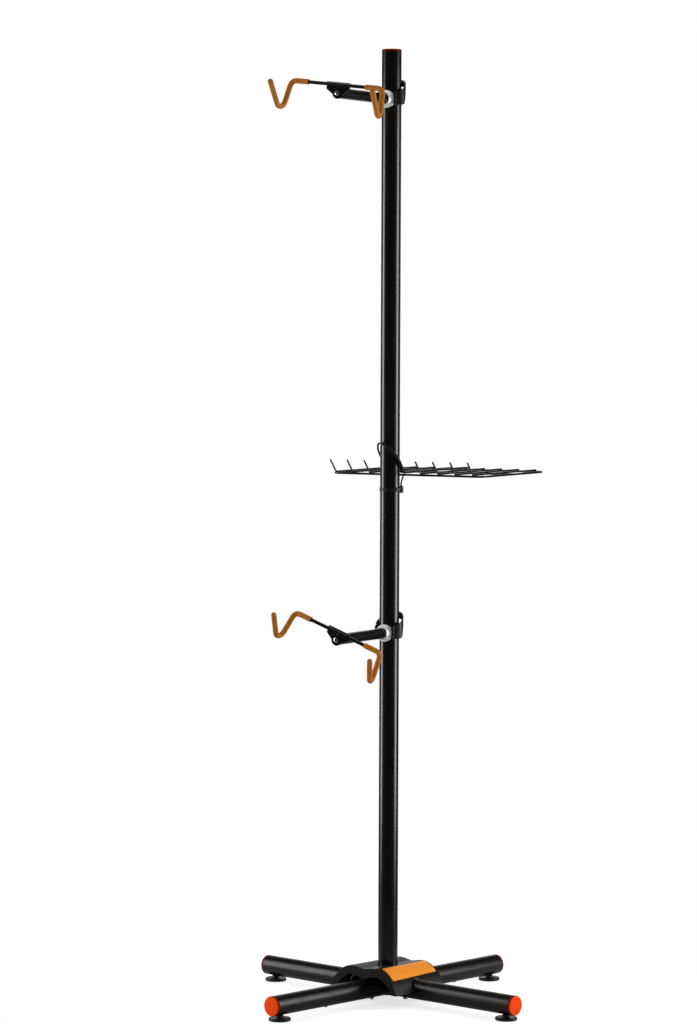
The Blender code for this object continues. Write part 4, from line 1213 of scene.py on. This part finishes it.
# %% [markdown]
# One more wire goes down from the rim to a rubber ring, which leans on the post below the tray and
# keeps it level.

# %% Rest wire
LOOP_TURN = -16
REST_HEIGHT = 1.158
REST_WIRE_AT = 0.0335
REST_TURNS_AT = TRAY_HEIGHT - 0.018
REST_BEND = 0.004
REST_BOSS_HALF = 0.009
loop_frame = tray_frame @ turned_by(LOOP_TURN, "Z")
turn = math.radians(LOOP_TURN)
drop = Vector((math.cos(turn), math.sin(turn), 0)) * REST_WIRE_AT
stem_side = CROSS_FIRST - CROSS_PITCH * HANGER_CROSS
corners = [on_tray(TRAY_NEAR, stem_side)]
for height in (REST_TURNS_AT, REST_HEIGHT - REST_BOSS_HALF + GAP):
    corners.append(drop + Vector((0, 0, height)))
wires.append(bent_rod("rest_wire", corners, CROSS_RADIUS, REST_BEND, 16, 8))
joined(grid, *wires)
settle(moved(grid, tray_frame), BLACK_PAINT, "tray", "black_paint", "tray_frame")

# %% [markdown]
# The tray hangs from one long wire. It comes in over the grid, goes up round the back of the post in a
# tilted loop, and runs back beside itself. A curve object suits it, because the loop follows a
# formula. The curve gets a round section from its bevel, and is then turned into a mesh.

# %% Wires from curves
def curve_rod(name, points, radius, resolution=6):
    """A wire along many close points, made with a curve and turned into a mesh."""
    curve = bpy.data.curves.new(name, "CURVE")
    curve.dimensions = "3D"
    curve.bevel_depth = radius
    curve.bevel_resolution = resolution
    curve.use_fill_caps = True
    spline = curve.splines.new("POLY")
    spline.points.add(len(points) - 1)
    for point, place in zip(spline.points, points):
        point.co = (*place, 1)
    obj = bpy.data.objects.new(name, curve)
    bpy.context.scene.collection.objects.link(obj)
    alone(obj)
    bpy.ops.object.convert(target="MESH")
    obj = bpy.context.object
    begin_edit(obj)
    end_edit()
    return obj


def rounded(corners, bend, steps=8):
    """The points of a line through three corners, with the middle one rounded."""
    first, corner, last = corners
    back = (first - corner).normalized()
    ahead = (last - corner).normalized()
    half = back.angle(ahead) / 2
    centre = corner + (back + ahead).normalized() * bend / math.sin(half)
    start = corner + back * bend / math.tan(half) - centre
    end = corner + ahead * bend / math.tan(half) - centre
    bends = [Matrix.Rotation(start.angle(end) * i / steps, 3, start.cross(end)) for i in range(steps + 1)]
    return [first] + [centre + bend_by @ start for bend_by in bends] + [last]

# %% [markdown]
# Seen from above the loop is a circle, and its height falls along the way that the tray points. The
# two runs of the stem lie beside each other on the rim, and each turns up into the loop in a bend.

# %% Hanger wire
LOOP_WIRE = 0.00225
LOOP_RADIUS = 0.0276
LOOP_MIDDLE = 1.2257
LOOP_SLOPE = 1.338
LOOP_LEAVES = 45
LOOP_PAIR = 0.0029
STEM_START = TRAY_NEAR + 0.006
STEM_BEND = 0.008


def loop_point(angle):
    """A point of the loop. The angle is in degrees from the way that the loop is lowest."""
    a = math.radians(angle)
    x = LOOP_RADIUS * math.cos(a)
    return Vector((x, LOOP_RADIUS * math.sin(a), LOOP_MIDDLE - LOOP_SLOPE * x))


def stem(ahead, offset):
    """A point of the stem, in the loop's frame."""
    lift = RIM_RADIUS + GAP + LOOP_WIRE
    return Matrix.Rotation(-turn, 3, "Z") @ on_tray(ahead, stem_side + offset, lift)


circle = [loop_point(angle) for angle in range(LOOP_LEAVES, 361 - LOOP_LEAVES, 5)]
incoming = rounded([stem(TRAY_FAR, LOOP_PAIR), stem(STEM_START, LOOP_PAIR), circle[0]], STEM_BEND)
outgoing = rounded([circle[-1], stem(STEM_START, -LOOP_PAIR), stem(TRAY_FAR, -LOOP_PAIR)], STEM_BEND)
hanger = curve_rod("tray_hanger_wire", incoming + circle[1:-1] + outgoing, LOOP_WIRE)
settle(moved(hanger, loop_frame), BLACK_PAINT, "tray", "black_paint", "tray_hanger")

# %% [markdown]
# Black rubber is pushed over part of the loop, so that it grips the post. It follows the same points,
# and goes on towards the bend of the stem. The wire's space is cut out of it.

# %% Rubber on the loop
SLEEVE_OUTER = 0.00425
SLEEVE_ON_STEM = 0.6

sleeved = [loop_point(angle) for angle in range(-165, 1 - LOOP_LEAVES, 5)]
sleeved.append(circle[-1].lerp(outgoing[1], SLEEVE_ON_STEM))
sleeve = curve_rod("tray_loop_rubber", sleeved, SLEEVE_OUTER)
space = [sleeved[0] * 2 - sleeved[1], *sleeved, sleeved[-1] * 2 - sleeved[-2]]
cut_away(sleeve, curve_rod("space", space, LOOP_WIRE + 2 * GAP))
moved(soften(sleeve, 0.0003, 2, 50), loop_frame)
settle(sleeve, BLACK_RUBBER, "tray", "black_rubber", "tray_loop_sleeve")

# %% [markdown]
# The ring at the bottom is open at the back, so that it could be snapped on, and a boss on it holds
# the end of the rest wire. A plain bush lies inside it, round the post. It slides with the tray but
# stays still while the tray swivels.

# %% Rest ring and bush
REST_HALF = 0.0045
REST_BORE = 0.0236
REST_RADIUS = 0.0284
NECK_HALF = 0.0036
NECK_TALL = 0.0076
TRAY_BUSH_RADIUS = 0.0232
TRAY_BUSH_HALF = 0.0042


def welded(obj, other):
    return combine(obj, other, "UNION")


at_ring = shifted(0, 0, REST_HEIGHT)
outline = circle_points(REST_RADIUS, -151, 87, 72) + circle_points(REST_BORE, 87, -151, 72)
ring = moved(thick_outline("tray_rest_clip", outline, 2 * REST_HALF), at_ring)
soften(ring, 0.0019, 4, 50)
neck = [(0.026, -NECK_HALF), (REST_WIRE_AT, -NECK_HALF), (REST_WIRE_AT, NECK_HALF), (0.026, NECK_HALF)]
neck = moved(thick_outline("neck", neck, NECK_TALL), at_ring)
at_wire = shifted(REST_WIRE_AT, 0, REST_HEIGHT)
boss = [(0.0030, -REST_BOSS_HALF), (0.0045, -0.0085), (0.0052, -0.0072)]
boss += [(0.0052, 0.0050), (0.0045, 0.0065), (0.0030, 0.007)]
welded(ring, soften(neck, 0.0010, 3, 50))
welded(ring, moved(turned_piece("boss", boss, 48), at_wire))
cut_away(ring, moved(column("wire_space", CROSS_RADIUS + GAP, -0.02, 0.02, 32), at_wire))
settle(moved(ring, loop_frame), BLACK_RUBBER, "tray", "black_rubber", "tray_rest_ring")
low, high = REST_HEIGHT - TRAY_BUSH_HALF, REST_HEIGHT + TRAY_BUSH_HALF
bush = tube_piece("tray_bush_sleeve", TRAY_BUSH_RADIUS, BUSH_BORE, low, high)
settle(soften(bush, 0.0003, 2), BLACK_PLASTIC, "tray_slider", "black_plastic", "tray_bush")
